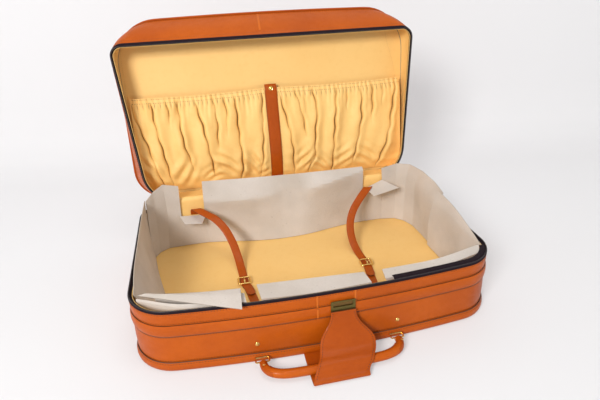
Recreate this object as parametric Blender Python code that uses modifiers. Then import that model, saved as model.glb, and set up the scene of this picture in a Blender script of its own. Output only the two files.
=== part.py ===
"""Leather suitcase, lying open: zip case with card liner, pocket lid, carrying handle and catch flap.

Metres, +Z up. X runs along the front wall, Y to the back. The origin is the centre of the base's underside.
The lid is modelled closed, about its hinge line, and its empty turns it to the open angle.
"""

import math

import bmesh
import bpy
from mathutils import Vector

# Driving dimensions of the case
case_width = 0.660
case_depth = 0.414
base_height = 0.122
lid_height = 0.075
corner_radius = 0.065
front_bow = 0.024
open_angle = math.radians(98.0)

# Material thicknesses and fits
leather = 0.0020
board = 0.0030
lining = 0.0010
card = 0.0012
seat_gap = 0.0003
band_gap = 0.0008
closing_gap = 0.0006
cut_overrun = 0.0010

# Wall bands, as heights above the floor of the base or below the top of the lid
welt_height = 0.0155
lid_welt_height = 0.0105
welt_foot = 0.0010
welt_bulge = 0.0022
ridge_bottom_share = 0.6025
ridge_height_share = 0.168
ridge_bulge = 0.0024
bulge_shares = ((0, 0), (0.25, 0.85), (0.75, 0.85), (1, 0))

# Zip
tape_width = 0.0140
tape_thickness = 0.0010
tape_reveal = 0.0060
chain_radius = 0.0012
zip_end_x = 0.250
slider_width = 0.0100
slider_height = 0.0120
slider_depth = 0.0055
slider_nose_share = 0.33
slider_clearance = 0.0035
pull_length = 0.0260
pull_wire_radius = 0.0007
pull_eye_play = 0.0004

# Hinge strips along the back
hinge_half_length = 0.236
hinge_leaf = 0.0210
hinge_bend_radius = 0.0040
hinge_lining_leaf = 0.0120
hinge_lining_lid_leaf = 0.0450

# Studs on the front wall
stud_x = 0.126
stud_z = 0.037
stud_radius = 0.0042
stud_height = 0.0020
stud_dome_share = 0.55

# Carrying handle
handle_half_span = 0.121
handle_ring_room = 0.0105
handle_axis_z = 0.0120
handle_radius = 0.0085
handle_end_share = 0.66
handle_taper_share = 0.22
handle_reach = 0.0245
handle_neck = 0.0140
handle_end_inset = 0.0050
handle_roundness_share = 0.77
ring_wire_radius = 0.0015
ring_half_width = 0.0115
tab_half_width = 0.0075
tab_thickness = 0.0016
tab_length = 0.0220
handle_rivet_radius = 0.0028
handle_rivet_height = 0.0012
handle_rivet_inset = 0.0170

# Catch flap
flap_thickness = 0.0026
flap_half_width = 0.0475
flap_lower_length = 0.0720
flap_fold_radius = 0.0022
flap_neck_half_width = 0.0230
flap_shoulder_half_width = 0.0500
flap_top_shift = 0.0235
flap_top_z = 0.0800
flap_drape_play = 0.0026
flap_drape_start = 150
flap_drape_end = 75
# Each row gives the shares of the way to the wall, of the rise, and of the narrowing to the neck
flap_drape_shares = (
    (0.25, 0.07, 0.0),
    (0.50, 0.20, 0.04),
    (0.72, 0.40, 0.20),
    (0.88, 0.63, 0.55),
    (0.97, 0.84, 0.90),
    (1.00, 1.00, 1.00),
)
plate_half_width = 0.0215
plate_height = 0.0230
plate_thickness = 0.0014
plate_slot_half_width = 0.0175
plate_slot_height = 0.0085
plate_rim = 0.0030

# Inner straps and buckles
# Places across the case, as shares of its width
strap_left_share = -0.1879
strap_right_share = 0.2242
strap_left_root_share = -0.3212
strap_right_root_share = 0.3348
strap_left_front_share = -0.1788
strap_right_front_share = 0.1545
strap_half_width = 0.0090
strap_thickness = 0.0018
strap_root_z = 0.0880
strap_crest_rise = 0.0110
strap_crest_reach = 0.0090
strap_landing_y = 0.050
strap_tip_length = 0.0400
strap_front_top_z = 0.100
strap_front_foot = 0.012
# Each row gives the shares of the way from the crest to the landing and of the fall
strap_fall_shares = ((0.10, 0.05), (0.30, 0.24), (0.58, 0.60), (0.82, 0.88), (1.0, 1.0))
strap_root_rise_share = 0.7
strap_over_bar_share = 0.7
strap_tip_bend_share = 0.35
strap_bar_run_share = 4
strap_floor_run_shares = (0.35, 0.7)
strap_foot_bend_share = 0.25
# Shares of the buckle's half length where the strap lies flat again behind the bar
strap_landing_shares = (1.7, 0.6)
buckle_half_width = 0.0130
buckle_half_length = 0.0095
buckle_wire_radius = 0.0013
buckle_lift = 0.0058
buckle_corner = 0.0030
prong_half_width = 0.0014
prong_thickness = 0.0010
prong_rise = 0.0034
prong_overhang = 0.0018
prong_hole_half_width = 0.0024
prong_hole_front = 0.0034
prong_hole_back = 0.0060
# Shares of the hole's length and of the rise where the prong starts to lift
prong_bend_shares = (0.3, 0.6)

# Card liner
card_back_height = 0.165
card_side_rise = 0.028
card_front_height = 0.128
card_window_z = 0.085
card_window_left_margin = 0.001
card_window_left_width = 0.071
card_window_right_margin = 0.009
card_window_right_width = 0.048
card_slot_half_width = 0.020
card_clearance = 0.0020
card_front_foot = 0.035
card_left_foot_back = 0.005
card_left_foot_front = 0.056
card_right_foot_back = 0.002
card_right_foot_front = 0.022
card_left_lean_back = 0.002
card_left_lean_front = 0.001
card_right_lean_back = 0.017
card_right_lean_front = 0.010
card_side_front_rise = 0.007
card_rim_play = 0.003
card_corner_gap = 0.003
card_edge_share = 0.2

# Lid pocket
pocket_height = 0.236
pocket_foot = 0.014
pocket_stand_off = 0.020
pocket_cloth = 0.0010
pocket_fold_depth = 0.0042
pocket_fold_pitch = 0.036
pocket_fold_slant_share = 0.16
pocket_side_gap = 0.0009
pocket_half_gap = 0.0165
# Share of the stand-off from foot to hem
pocket_belly_shares = (0.30, 0.62, 0.85, 0.97, 1.0, 0.96, 0.88, 0.80)
pocket_strap_half_width = 0.0145
pocket_strap_thickness = 0.0020
pocket_strap_top = 0.252
snap_radius = 0.0055
snap_height = 0.0020
pocket_slant_waves = 1.5

# Keeper stud on the lid
keeper_radius = 0.0100
keeper_thickness = 0.0012
keeper_edge_distance = 0.022
keeper_post_radius = 0.0030
keeper_head_radius = 0.0040
keeper_height = 0.0055
keeper_head = 0.0018
keeper_edge_share = 0.33

# Mesh resolution, as counts
corner_steps = 6
long_steps = 10
short_steps = 6
bend_steps = 6
turn_steps = 16
grip_steps = 22
card_steps = 6
pocket_steps = 34

# Colours: red, green, blue, roughness, metallic
finishes = {
    "leather": (0.56, 0.12, 0.022, 0.45, 0.0),
    "dark_leather": (0.40, 0.075, 0.014, 0.45, 0.0),
    "lining": (0.93, 0.56, 0.19, 0.90, 0.0),
    "card": (0.66, 0.58, 0.50, 0.92, 0.0),
    "board": (0.30, 0.26, 0.22, 0.90, 0.0),
    "tape": (0.022, 0.010, 0.016, 0.85, 0.0),
    "brass": (0.62, 0.42, 0.12, 0.30, 1.0),
    "old_brass": (0.20, 0.16, 0.04, 0.40, 1.0),
}

# Derived places
half_width = case_width / 2
half_depth = case_depth / 2
hinge_z = base_height + closing_gap / 2
lid_rim = closing_gap / 2
leather_inset = leather / 2
board_inset = leather + seat_gap + board / 2
inner_face = leather + board + lining + seat_gap * 2
lining_inset = inner_face - lining / 2
tape_inset = leather + seat_gap + tape_thickness / 2
wall_inner = half_depth - inner_face
floor_top = inner_face
front_y = -(half_depth + front_bow)
welt_outer = leather + seat_gap + welt_bulge
handle_axis_y = front_y - welt_outer - handle_ring_room
grip_y = handle_axis_y - handle_neck - handle_reach
flap_root_y = front_y - welt_outer - seat_gap
flap_fold_y = flap_root_y - flap_lower_length
flap_lower_z = seat_gap + flap_thickness / 2
flap_axis_z = flap_lower_z + flap_fold_radius
flap_top_y = front_y - ridge_bulge - seat_gap - flap_thickness / 2
strap_floor_z = floor_top + seat_gap + strap_thickness / 2
buckle_z = floor_top + buckle_lift
buckle_bar_y = -buckle_half_length
ridge_bottom = base_height * ridge_bottom_share
ridge_height = base_height * ridge_height_share
upper_band_bottom = ridge_bottom + ridge_height + band_gap
strap_left_x = case_width * strap_left_share
strap_right_x = case_width * strap_right_share
strap_left_root_x = case_width * strap_left_root_share
strap_right_root_x = case_width * strap_right_root_share
strap_left_front_x = case_width * strap_left_front_share
strap_right_front_x = case_width * strap_right_front_share
upper_band_top = base_height - tape_reveal
board_top = base_height - chain_radius * 2 - tape_width - seat_gap * 2
lid_panel_bottom = lid_height - leather
lid_board_bottom = lid_panel_bottom - seat_gap - board
lid_lining_bottom = lid_board_bottom - seat_gap - lining


def clear_scene():
    for item in list(bpy.data.objects):
        bpy.data.objects.remove(item, do_unlink=True)


clear_scene()
part_collection = bpy.data.collections.new("leather_suitcase")
cutter_collection = bpy.data.collections.new("cutters")
bpy.context.scene.collection.children.link(part_collection)
bpy.context.scene.collection.children.link(cutter_collection)


def make_material(name, finish):
    red, green, blue, roughness, metallic = finishes[finish]
    material = bpy.data.materials.new(name)
    material.use_nodes = True
    shader = material.node_tree.nodes["Principled BSDF"]
    shader.inputs["Base Color"].default_value = (red, green, blue, 1.0)
    shader.inputs["Roughness"].default_value = roughness
    shader.inputs["Metallic"].default_value = metallic
    return material


def add_part(name, data, finish, parent=None, at=(0, 0, 0), turn=(0, 0, 0)):
    """Link an object under its parent, at a local place, with a material of its own."""
    item = bpy.data.objects.new(name, data)
    part_collection.objects.link(item)
    item.data.materials.append(make_material(name, finish))
    item.location = at
    item.rotation_euler = turn
    if parent is not None:
        item.parent = parent
    return item


def add_pivot(name, place, parent=None, turn=0.0):
    """Empty on a joint's axis."""
    pivot = bpy.data.objects.new(name, None)
    part_collection.objects.link(pivot)
    pivot.location = place
    pivot.rotation_euler = (turn, 0, 0)
    if parent is not None:
        pivot.parent = parent
    return pivot


def thicken(item, thickness):
    """Give an open surface its wall, half to each side."""
    solid = item.modifiers.new("wall", "SOLIDIFY")
    solid.thickness = thickness
    solid.offset = 0
    solid.use_even_offset = True
    solid.use_quality_normals = True
    return item


def bowed(x, y):
    """Push the front of a plan outward in a shallow curve, fading along the sides."""
    straight = half_depth - corner_radius
    weight = min(max(-y / straight, 0), 1)
    return y - front_bow * (1 - (x / half_width) ** 2) * weight


def plan_points(inset, open_back=False):
    """Outline of the case in plan, inset all round; open_back leaves out the back between the zip's ends."""
    centre_x = half_width - corner_radius
    centre_y = half_depth - corner_radius
    radius = corner_radius - inset
    points = []
    if open_back:
        points.append((-zip_end_x, half_depth - inset))
    else:
        for step in range(1, short_steps):
            share = 1 - 2 * step / short_steps
            points.append((centre_x * share, half_depth - inset))
    corners = ((-1, 1, 90), (-1, -1, 180), (1, -1, 270), (1, 1, 360))
    for index, (side_x, side_y, start) in enumerate(corners):
        for step in range(corner_steps + 1):
            angle = math.radians(start + 90 * step / corner_steps)
            x = side_x * centre_x + radius * math.cos(angle)
            y = side_y * centre_y + radius * math.sin(angle)
            points.append((x, y))
        run = (short_steps, long_steps, short_steps, 0)[index]
        next_x, next_y = ((-1, -1), (1, -1), (1, 1), (0, 0))[index]
        along = math.radians(start + 90)
        for step in range(1, run):
            share = step / run
            x = centre_x * (side_x + (next_x - side_x) * share) + radius * math.cos(along)
            y = centre_y * (side_y + (next_y - side_y) * share) + radius * math.sin(along)
            points.append((x, y))
    if open_back:
        points.append((zip_end_x, half_depth - inset))
    return [(x, bowed(x, y)) for x, y in points]


def sweep_rows(mesh, rows, closed):
    """Draw a chain of points as edges, then extrude it through the other rows."""
    verts = [mesh.verts.new(point) for point in rows[0]]
    pairs = list(zip(verts, verts[1:]))
    if closed:
        pairs.append((verts[-1], verts[0]))
    edges = [mesh.edges.new(pair) for pair in pairs]
    for row in rows[1:]:
        result = bmesh.ops.extrude_edge_only(mesh, edges=edges)
        fresh = {item for item in result["geom"] if isinstance(item, bmesh.types.BMVert)}
        followers = []
        for vert in verts:
            ends = [edge.other_vert(vert) for edge in vert.link_edges]
            followers.append(next(end for end in ends if end in fresh))
        count = len(followers)
        last = count if closed else count - 1
        edges = [mesh.edges.get((followers[i], followers[(i + 1) % count])) for i in range(last)]
        for vert, point in zip(followers, row):
            vert.co = point
        verts = followers


def surface(name, rows, thickness, finish, closed=False, parent=None):
    """Make a sheet through rows of points and give it its thickness."""
    mesh = bmesh.new()
    sweep_rows(mesh, rows, closed)
    bmesh.ops.recalc_face_normals(mesh, faces=mesh.faces)
    data = bpy.data.meshes.new(name)
    mesh.to_mesh(data)
    mesh.free()
    data.shade_smooth()
    return thicken(add_part(name, data, finish, parent), thickness)


def wall_ring(name, profile, thickness, finish, parent=None, zip_run=False):
    """Wall round the case, from a profile of inset and height pairs; zip_run leaves the hinge open."""
    shift = -half_depth if parent else 0
    rows = []
    for inset, height in profile:
        rows.append([(x, y + shift, height) for x, y in plan_points(inset, zip_run)])
    return surface(name, rows, thickness, finish, not zip_run, parent)


def flat_plate(name, loops, thickness, finish, at, parent=None, turn=(0, 0, 0)):
    """Flat piece from outlines, the first outside and the rest holes, centred in its thickness."""
    curve = bpy.data.curves.new(name, "CURVE")
    curve.dimensions = "2D"
    curve.fill_mode = "BOTH"
    curve.extrude = thickness / 2
    for loop in loops:
        spline = curve.splines.new("POLY")
        spline.points.add(len(loop) - 1)
        for point, (x, y) in zip(spline.points, loop):
            point.co = (x, y, 0, 1)
        spline.use_cyclic_u = True
    return add_part(name, curve, finish, parent, at, turn)


def plan_plate(name, inset, bottom, thickness, finish, parent=None):
    """Panel with the outline of the case, lying at a height."""
    shift = -half_depth if parent else 0
    place = (0, shift, bottom + thickness / 2)
    return flat_plate(name, [plan_points(inset)], thickness, finish, place, parent)


def tube(name, points, radius, finish, parent=None, closed=False, shares=None, detail=2):
    """Round bar along points; shares scale its radius at each."""
    curve = bpy.data.curves.new(name, "CURVE")
    curve.dimensions = "3D"
    curve.bevel_depth = radius
    curve.bevel_resolution = detail
    curve.use_fill_caps = not closed
    spline = curve.splines.new("POLY")
    spline.points.add(len(points) - 1)
    for index, point in enumerate(points):
        spline.points[index].co = (*point, 1)
        if shares:
            spline.points[index].radius = shares[index]
    spline.use_cyclic_u = closed
    return add_part(name, curve, finish, parent)


def ribbon(name, path, thickness, finish, parent=None):
    """Strap that lies across X, from centre x, y, z and half width at each station."""
    rows = [[(x - half, y, z), (x + half, y, z)] for x, y, z, half in path]
    return surface(name, rows, thickness, finish, False, parent)


def turned(name, profile, finish, at, parent=None, turn=(0, 0, 0)):
    """Solid of revolution about its own Z, from radius and height pairs that run top to bottom."""
    data = bpy.data.meshes.new(name)
    points = [(radius, 0, height) for radius, height in profile]
    data.from_pydata(points, [(index, index + 1) for index in range(len(points) - 1)], [])
    item = add_part(name, data, finish, parent, at, turn)
    screw = item.modifiers.new("turn", "SCREW")
    screw.steps = turn_steps
    screw.render_steps = turn_steps
    screw.use_merge_vertices = True
    screw.merge_threshold = seat_gap / 10
    return item


def box_mesh(name, low, high):
    """Box between two corners, as mesh data."""
    mesh = bmesh.new()
    bmesh.ops.create_cube(mesh, size=1)
    size = Vector(high) - Vector(low)
    bmesh.ops.scale(mesh, vec=size, verts=mesh.verts)
    bmesh.ops.translate(mesh, vec=(Vector(high) + Vector(low)) / 2, verts=mesh.verts)
    data = bpy.data.meshes.new(name)
    mesh.to_mesh(data)
    mesh.free()
    return data


def cut(item, cutter_data):
    """Take the cutter out of a piece with a Boolean."""
    cutter = bpy.data.objects.new(item.name + "_cutter", cutter_data)
    cutter_collection.objects.link(cutter)
    cutter.hide_render = True
    cutter.display_type = "WIRE"
    boolean = item.modifiers.new("cut", "BOOLEAN")
    boolean.operation = "DIFFERENCE"
    boolean.object = cutter
    return item


def arc(centre, radius, start, end, steps):
    """Points on an arc in the YZ plane, angles in degrees from +Y towards +Z."""
    points = []
    for step in range(steps + 1):
        angle = math.radians(start + (end - start) * step / steps)
        points.append((centre[0] + radius * math.cos(angle), centre[1] + radius * math.sin(angle)))
    return points


def rounded_box(half_x, low_y, high_y, corner):
    """Outline of a rectangle with rounded corners."""
    steps = 3
    centres = (
        (half_x - corner, high_y - corner, 0),
        (-half_x + corner, high_y - corner, 90),
        (-half_x + corner, low_y + corner, 180),
        (half_x - corner, low_y + corner, 270),
    )
    points = []
    for x, y, start in centres:
        points += arc((x, y), corner, start, start + 90, steps)
    return points


def stud_profile(radius, height):
    """Half section of a domed rivet head."""
    dome = height * stud_dome_share
    steps = 3
    points = []
    for step in range(steps + 1):
        angle = math.radians(90 * step / steps)
        points.append((radius * math.sin(angle), height - dome + dome * math.cos(angle)))
    return points + [(radius, 0), (0, 0)]


def welt_profile(foot, top):
    """Rounded profile that stands off the wall it wraps."""
    out = -(leather / 2 + seat_gap)
    return [(out - welt_bulge * bulge, foot + (top - foot) * rise) for rise, bulge in bulge_shares]


def base_shell():
    """Leather skin of the base: bottom, welt, lower wall, raised band and upper band."""
    plan_plate("base_bottom_panel", 0, 0, leather, "dark_leather")
    wall_ring("base_welt", welt_profile(welt_foot, welt_height), leather, "leather")
    lower = [(leather_inset, leather + seat_gap), (leather_inset, ridge_bottom - band_gap)]
    wall_ring("base_lower_wall", lower, leather, "leather")
    ridge = []
    for rise, bulge in bulge_shares:
        ridge.append((leather_inset - ridge_bulge * bulge, ridge_bottom + ridge_height * rise))
    wall_ring("base_ridge_band", ridge, leather, "leather")
    band = [(leather_inset, upper_band_bottom), (leather_inset, upper_band_top)]
    wall_ring("base_upper_band", band, leather, "leather")


def base_inside():
    """Stiffening boards and the cloth lining of the base."""
    plan_plate("base_bottom_board", leather + seat_gap, leather + seat_gap, board, "board")
    foot = leather + board + seat_gap * 2
    wall_ring("base_wall_board", [(board_inset, foot), (board_inset, board_top)], board, "board")
    plan_plate("base_lining_floor", foot, foot, lining, "lining")
    top = base_height - chain_radius * 2 - seat_gap * 2
    cloth = [(lining_inset, floor_top + seat_gap), (lining_inset, top)]
    wall_ring("base_lining_wall", cloth, lining, "lining")


def zip_half(prefix, rim, direction, parent=None):
    """Tape and chain of one half of the zip, at the rim; direction points from the rim to the wall."""
    near = rim + direction * (chain_radius * 2 + seat_gap)
    far = near + direction * tape_width
    tape = [(tape_inset, near), (tape_inset, far)]
    wall_ring(prefix + "_zip_tape", tape, tape_thickness, "tape", parent, True)
    shift = -half_depth if parent else 0
    chain_z = rim + direction * chain_radius
    points = [(x, y + shift, chain_z) for x, y in plan_points(tape_inset, True)]
    tube(prefix + "_zip_chain", points, chain_radius, "tape", parent, detail=0)


def front_studs():
    """Brass rivets that hold the handle's straps inside the front wall."""
    for side, label in ((-1, "left"), (1, "right")):
        place = (side * stud_x, bowed(stud_x - stud_radius, -half_depth) - seat_gap, stud_z)
        profile = stud_profile(stud_radius, stud_height)
        turned("front_stud_" + label, profile, "brass", place, None, (math.pi / 2, 0, 0))


def handle_rings():
    """Wire loops at the foot of the front wall that the handle turns on."""
    far_x = handle_half_span + ring_half_width
    rear_y = bowed(far_x, -half_depth) - welt_outer - ring_wire_radius - band_gap
    for side, label in ((-1, "left"), (1, "right")):
        loop = rounded_box(ring_half_width, handle_axis_y, rear_y, ring_wire_radius)
        points = [(side * handle_half_span + x, y, handle_axis_z) for x, y in loop]
        tube("handle_ring_" + label, points, ring_wire_radius, "brass", closed=True, detail=1)


def handle():
    """Padded grip, with leather tabs round the loops and a rivet in each tab."""
    pivot = add_pivot("handle_pivot", (0, handle_axis_y, handle_axis_z))
    start_y = -handle_end_inset
    neck_y = -handle_neck
    points = [(-handle_half_span, start_y, 0), (-handle_half_span, (start_y + neck_y) / 2, 0)]
    for step in range(grip_steps + 1):
        angle = math.pi * step / grip_steps
        across = math.copysign(abs(math.cos(angle)) ** handle_roundness_share, -math.cos(angle))
        reach = math.sin(angle) ** handle_roundness_share if 0 < step < grip_steps else 0
        points.append((handle_half_span * across, neck_y - handle_reach * reach, 0))
    points += [(handle_half_span, (start_y + neck_y) / 2, 0), (handle_half_span, start_y, 0)]
    shares = []
    for index in range(len(points)):
        along = index / (len(points) - 1)
        ease = min(min(along, 1 - along) / handle_taper_share, 1)
        shares.append(handle_end_share + (1 - handle_end_share) * math.sin(ease * math.pi / 2))
    tube("handle_grip", points, handle_radius, "leather", pivot, shares=shares)
    wrap = ring_wire_radius + seat_gap + tab_thickness / 2
    hug = handle_radius + seat_gap + tab_thickness / 2
    end_hug = handle_radius * handle_end_share + seat_gap * 3 + tab_thickness / 2
    for side, label in ((-1, "left"), (1, "right")):
        x = side * handle_half_span
        section = [(-tab_length, -hug), (-handle_neck, -hug), (-handle_end_inset, -end_hug)]
        section += arc((0, 0), wrap, -90, 90, bend_steps)
        section += [(-handle_end_inset, end_hug), (-handle_neck, hug), (-tab_length, hug)]
        path = [(x, y, z, tab_half_width) for y, z in section]
        ribbon("handle_tab_" + label, path, tab_thickness, "dark_leather", pivot)
        place = (x, -handle_rivet_inset, hug + tab_thickness / 2 + seat_gap)
        profile = stud_profile(handle_rivet_radius, handle_rivet_height)
        turned("handle_rivet_" + label, profile, "brass", place, pivot)


def flap_path():
    """Stations of the catch flap's upper layer: over the handle, then up to the catch on the wall."""
    drape_radius = handle_radius + flap_drape_play + flap_thickness / 2
    centre = (grip_y, handle_axis_z)
    over = arc(centre, drape_radius, flap_drape_start, flap_drape_end, bend_steps)
    start = (flap_fold_y + band_gap, flap_axis_z + flap_fold_radius)
    lead = ((start[0] + over[0][0]) / 2, start[1] + flap_fold_radius / 2)
    points = [(y, z, 0, 0) for y, z in [start, lead] + over]
    top_y, top_z = over[-1]
    for away, rise, narrow in flap_drape_shares:
        y = top_y + (flap_top_y - top_y) * away
        points.append((y, top_z + (flap_top_z - top_z) * rise, away, narrow))
    stations = []
    for y, z, swell, narrow in points:
        half = flap_half_width + (flap_shoulder_half_width - flap_half_width) * math.sin(math.pi * swell)
        half -= (half - flap_neck_half_width) * narrow
        shift = flap_top_shift * (z - points[0][1]) / (flap_top_z - points[0][1])
        stations.append((shift, y, z, half))
    return stations


def catch_flap():
    """Folded leather flap on the floor, under and over the handle, with a slotted catch plate at its end."""
    lower = [(0, y, flap_lower_z, flap_half_width) for y in (flap_root_y, flap_fold_y + band_gap)]
    ribbon("flap_lower", lower, flap_thickness, "leather")
    fold = arc((flap_fold_y, flap_axis_z), flap_fold_radius, -90, -270, bend_steps)
    ribbon("flap_fold", [(0, y, z, flap_half_width) for y, z in fold], flap_thickness, "leather")
    pivot = add_pivot("flap_pivot", (0, flap_fold_y, flap_axis_z))
    upper = [(x, y - flap_fold_y, z - flap_axis_z, half) for x, y, z, half in flap_path()]
    ribbon("flap_upper", upper, flap_thickness, "leather", pivot)
    half_height = plate_height / 2
    outer = rounded_box(plate_half_width, -half_height, half_height, plate_rim / 2)
    slot_top = half_height - plate_rim
    slot = rounded_box(plate_slot_half_width, slot_top - plate_slot_height, slot_top, plate_rim / 2)
    place = (flap_top_shift, flap_top_y - flap_fold_y, flap_top_z - flap_axis_z + seat_gap + half_height)
    flat_plate("catch_plate", [outer, slot], plate_thickness, "old_brass", place, pivot, (math.pi / 2, 0, 0))


def back_strap(x, root_x):
    """Stations of a strap from the back lining, over its crest, down to the floor and through the buckle."""
    root_y = wall_inner - seat_gap - strap_thickness / 2
    crest_y = root_y - strap_crest_reach
    crest_z = strap_root_z + strap_crest_rise
    stations = [(root_x, root_y, strap_root_z)]
    rise = strap_crest_rise * strap_root_rise_share
    stations.append((root_x, root_y - strap_thickness, strap_root_z + rise))
    stations.append((root_x, crest_y, crest_z))
    for away, fall in strap_fall_shares:
        y = crest_y + (strap_landing_y - crest_y) * away
        z = crest_z + (strap_floor_z - crest_z) * fall
        stations.append((root_x + (x - root_x) * away, y, z))
    over_bar = buckle_z + buckle_wire_radius + seat_gap + strap_thickness * strap_over_bar_share
    lying = strap_floor_z + strap_thickness + seat_gap * 2
    for share in strap_landing_shares:
        stations.append((x, buckle_half_length * share, strap_floor_z))
    stations.append((x, buckle_bar_y + prong_hole_front, over_bar))
    stations.append((x, buckle_bar_y - prong_hole_front, over_bar))
    tip_y = buckle_bar_y - prong_hole_front
    stations.append((x, tip_y - strap_tip_length * strap_tip_bend_share, lying))
    stations.append((x, tip_y - strap_tip_length, lying))
    return [(x_at, y, z, strap_half_width) for x_at, y, z in stations]


def front_strap(x, front_x):
    """Stations of a strap from the buckle's bar, along the floor and up the front lining."""
    wall_face_y = bowed(abs(front_x) + strap_half_width, -half_depth) + inner_face
    wall_y = wall_face_y + seat_gap * 2 + strap_thickness / 2
    bar_end = buckle_bar_y - buckle_wire_radius - seat_gap - strap_thickness / 2
    stations = [(x, bar_end - seat_gap, buckle_z - strap_thickness / 2)]
    stations.append((x, bar_end - strap_thickness * strap_bar_run_share, strap_floor_z))
    for share in strap_floor_run_shares:
        y = bar_end + (wall_y - bar_end) * share
        stations.append((x + (front_x - x) * share, y, strap_floor_z))
    stations.append((front_x, wall_y + strap_front_foot, strap_floor_z))
    bend = strap_front_foot * strap_foot_bend_share
    stations.append((front_x, wall_y + bend, strap_floor_z + bend))
    stations.append((front_x, wall_y, strap_floor_z + strap_front_foot))
    stations.append((front_x, wall_y, strap_front_top_z))
    return [(x_at, y, z, strap_half_width) for x_at, y, z in stations]


def buckled_strap(label, x, root_x, front_x):
    """One pair of straps with its buckle frame and prong."""
    back = ribbon("strap_" + label + "_back", back_strap(x, root_x), strap_thickness, "leather")
    low = (x - prong_hole_half_width, buckle_bar_y - prong_hole_front, buckle_z + buckle_wire_radius / 2)
    high_z = buckle_z + prong_rise + strap_thickness + cut_overrun
    high = (x + prong_hole_half_width, buckle_bar_y + prong_hole_back, high_z)
    cut(back, box_mesh("prong_hole_" + label, low, high))
    ribbon("strap_" + label + "_front", front_strap(x, front_x), strap_thickness, "leather")
    loop = rounded_box(buckle_half_width, -buckle_half_length, buckle_half_length, buckle_corner)
    points = [(x + across, y, buckle_z) for across, y in loop]
    tube("buckle_" + label, points, buckle_wire_radius, "brass", closed=True, detail=1)
    pivot = add_pivot("prong_pivot_" + label, (x, buckle_bar_y, buckle_z))
    curl = buckle_wire_radius + seat_gap + prong_thickness / 2
    section = arc((0, 0), curl, -60, -270, bend_steps)
    along_share, rise_share = prong_bend_shares
    section.append((prong_hole_back * along_share, curl + prong_rise * rise_share))
    section.append((prong_hole_back, curl + prong_rise))
    section.append((buckle_half_length * 2, curl + seat_gap))
    section.append((buckle_half_length * 2 + prong_overhang, curl + seat_gap))
    path = [(0, y, z, prong_half_width) for y, z in section]
    ribbon("prong_" + label, path, prong_thickness, "brass", pivot)


def card_liner():
    """Card sheets that stand inside the base above the rim, with windows and slots for the straps."""
    foot = floor_top + seat_gap
    side_height = base_height + card_side_rise
    end = half_width - corner_radius - card_corner_gap
    window_left = -end + card_window_left_margin
    left_end = window_left + card_window_left_width
    right_end = end - card_window_right_margin
    window_right = right_end - card_window_right_width
    outline = [(-end, foot), (end, foot), (end, side_height), (right_end, side_height)]
    outline += [(right_end, card_window_z), (window_right, card_window_z)]
    outline += [(window_right, card_back_height), (left_end, card_back_height)]
    outline += [(left_end, card_window_z), (window_left, card_window_z)]
    outline += [(window_left, card_back_height), (-end, card_back_height)]
    back_y = wall_inner - card_clearance - card / 2
    flat_plate("card_back", [outline], card, "card", (0, back_y, 0), None, (math.pi / 2, 0, 0))
    side_x = half_width - inner_face - card_clearance
    side_y = half_depth - corner_radius - card_corner_gap
    sides = (
        (-1, "left", card_left_foot_back, card_left_foot_front, card_left_lean_back, card_left_lean_front),
        (1, "right", card_right_foot_back, card_right_foot_front, card_right_lean_back, card_right_lean_front),
    )
    for side, label, foot_back, foot_front, lean_back, lean_front in sides:
        rows = []
        for step in range(card_steps + 1):
            share = step / card_steps
            y = side_y * (1 - 2 * share)
            foot_x = side_x - foot_back - (foot_front - foot_back) * share
            top_x = side_x + lean_back + (lean_front - lean_back) * share
            top = side_height + (card_side_front_rise - card_side_rise) * share
            lower = (side * foot_x, y, foot + card * card_edge_share)
            rows.append([lower, (side * side_x, y, base_height + card_rim_play), (side * top_x, y, top)])
        surface("card_" + label, rows, card, "card")
    left_slot = strap_left_front_x - card_slot_half_width
    left_slot_end = strap_left_front_x + card_slot_half_width
    right_slot = strap_right_front_x - card_slot_half_width
    right_slot_end = strap_right_front_x + card_slot_half_width
    pieces = (
        ("left", -end, left_slot),
        ("middle", left_slot_end, right_slot),
        ("right", right_slot_end, end),
    )
    for label, low, high in pieces:
        rows = []
        for step in range(card_steps + 1):
            x = low + (high - low) * step / card_steps
            wall_y = bowed(x, -half_depth) + inner_face + card_clearance
            lower = (x, wall_y + card_front_foot, foot + card * card_edge_share)
            rows.append([lower, (x, wall_y, card_front_height)])
        surface("card_front_" + label, rows, card, "card")


def lid_point(outward, along):
    """World Y and Z of a point near the hinge, given in the lid's frame at the open angle."""
    turn_cos = math.cos(open_angle)
    turn_sin = math.sin(open_angle)
    y = half_depth + outward * turn_cos + along * turn_sin
    return (y, hinge_z - outward * turn_sin + along * turn_cos)


def hinge_strips():
    """Leather strip outside and lining strip inside, each bent round the hinge line."""
    offset = leather / 2 + seat_gap
    turn = math.degrees(open_angle)
    tangent = hinge_bend_radius * math.tan(open_angle / 2)
    mitre = offset * math.tan(open_angle / 2)
    bend_z = hinge_z - mitre - tangent
    outside = [(half_depth + offset, upper_band_bottom + seat_gap)]
    centre = (half_depth + offset + hinge_bend_radius, bend_z)
    outside += arc(centre, hinge_bend_radius, 180, 180 - turn, bend_steps)
    outside.append(lid_point(offset, mitre + tangent + hinge_leaf))
    path = [(0, y, z, hinge_half_length) for y, z in outside]
    ribbon("hinge_leather", path, leather, "leather")
    inward = inner_face + seat_gap + lining / 2
    inside = [(half_depth - inward, hinge_z - hinge_lining_leaf)]
    inside += arc((half_depth, hinge_z), inward, 180, 180 - turn, bend_steps)
    inside.append(lid_point(-inward, hinge_lining_lid_leaf))
    path = [(0, y, z, hinge_half_length) for y, z in inside]
    ribbon("hinge_lining", path, lining, "lining")


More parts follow.
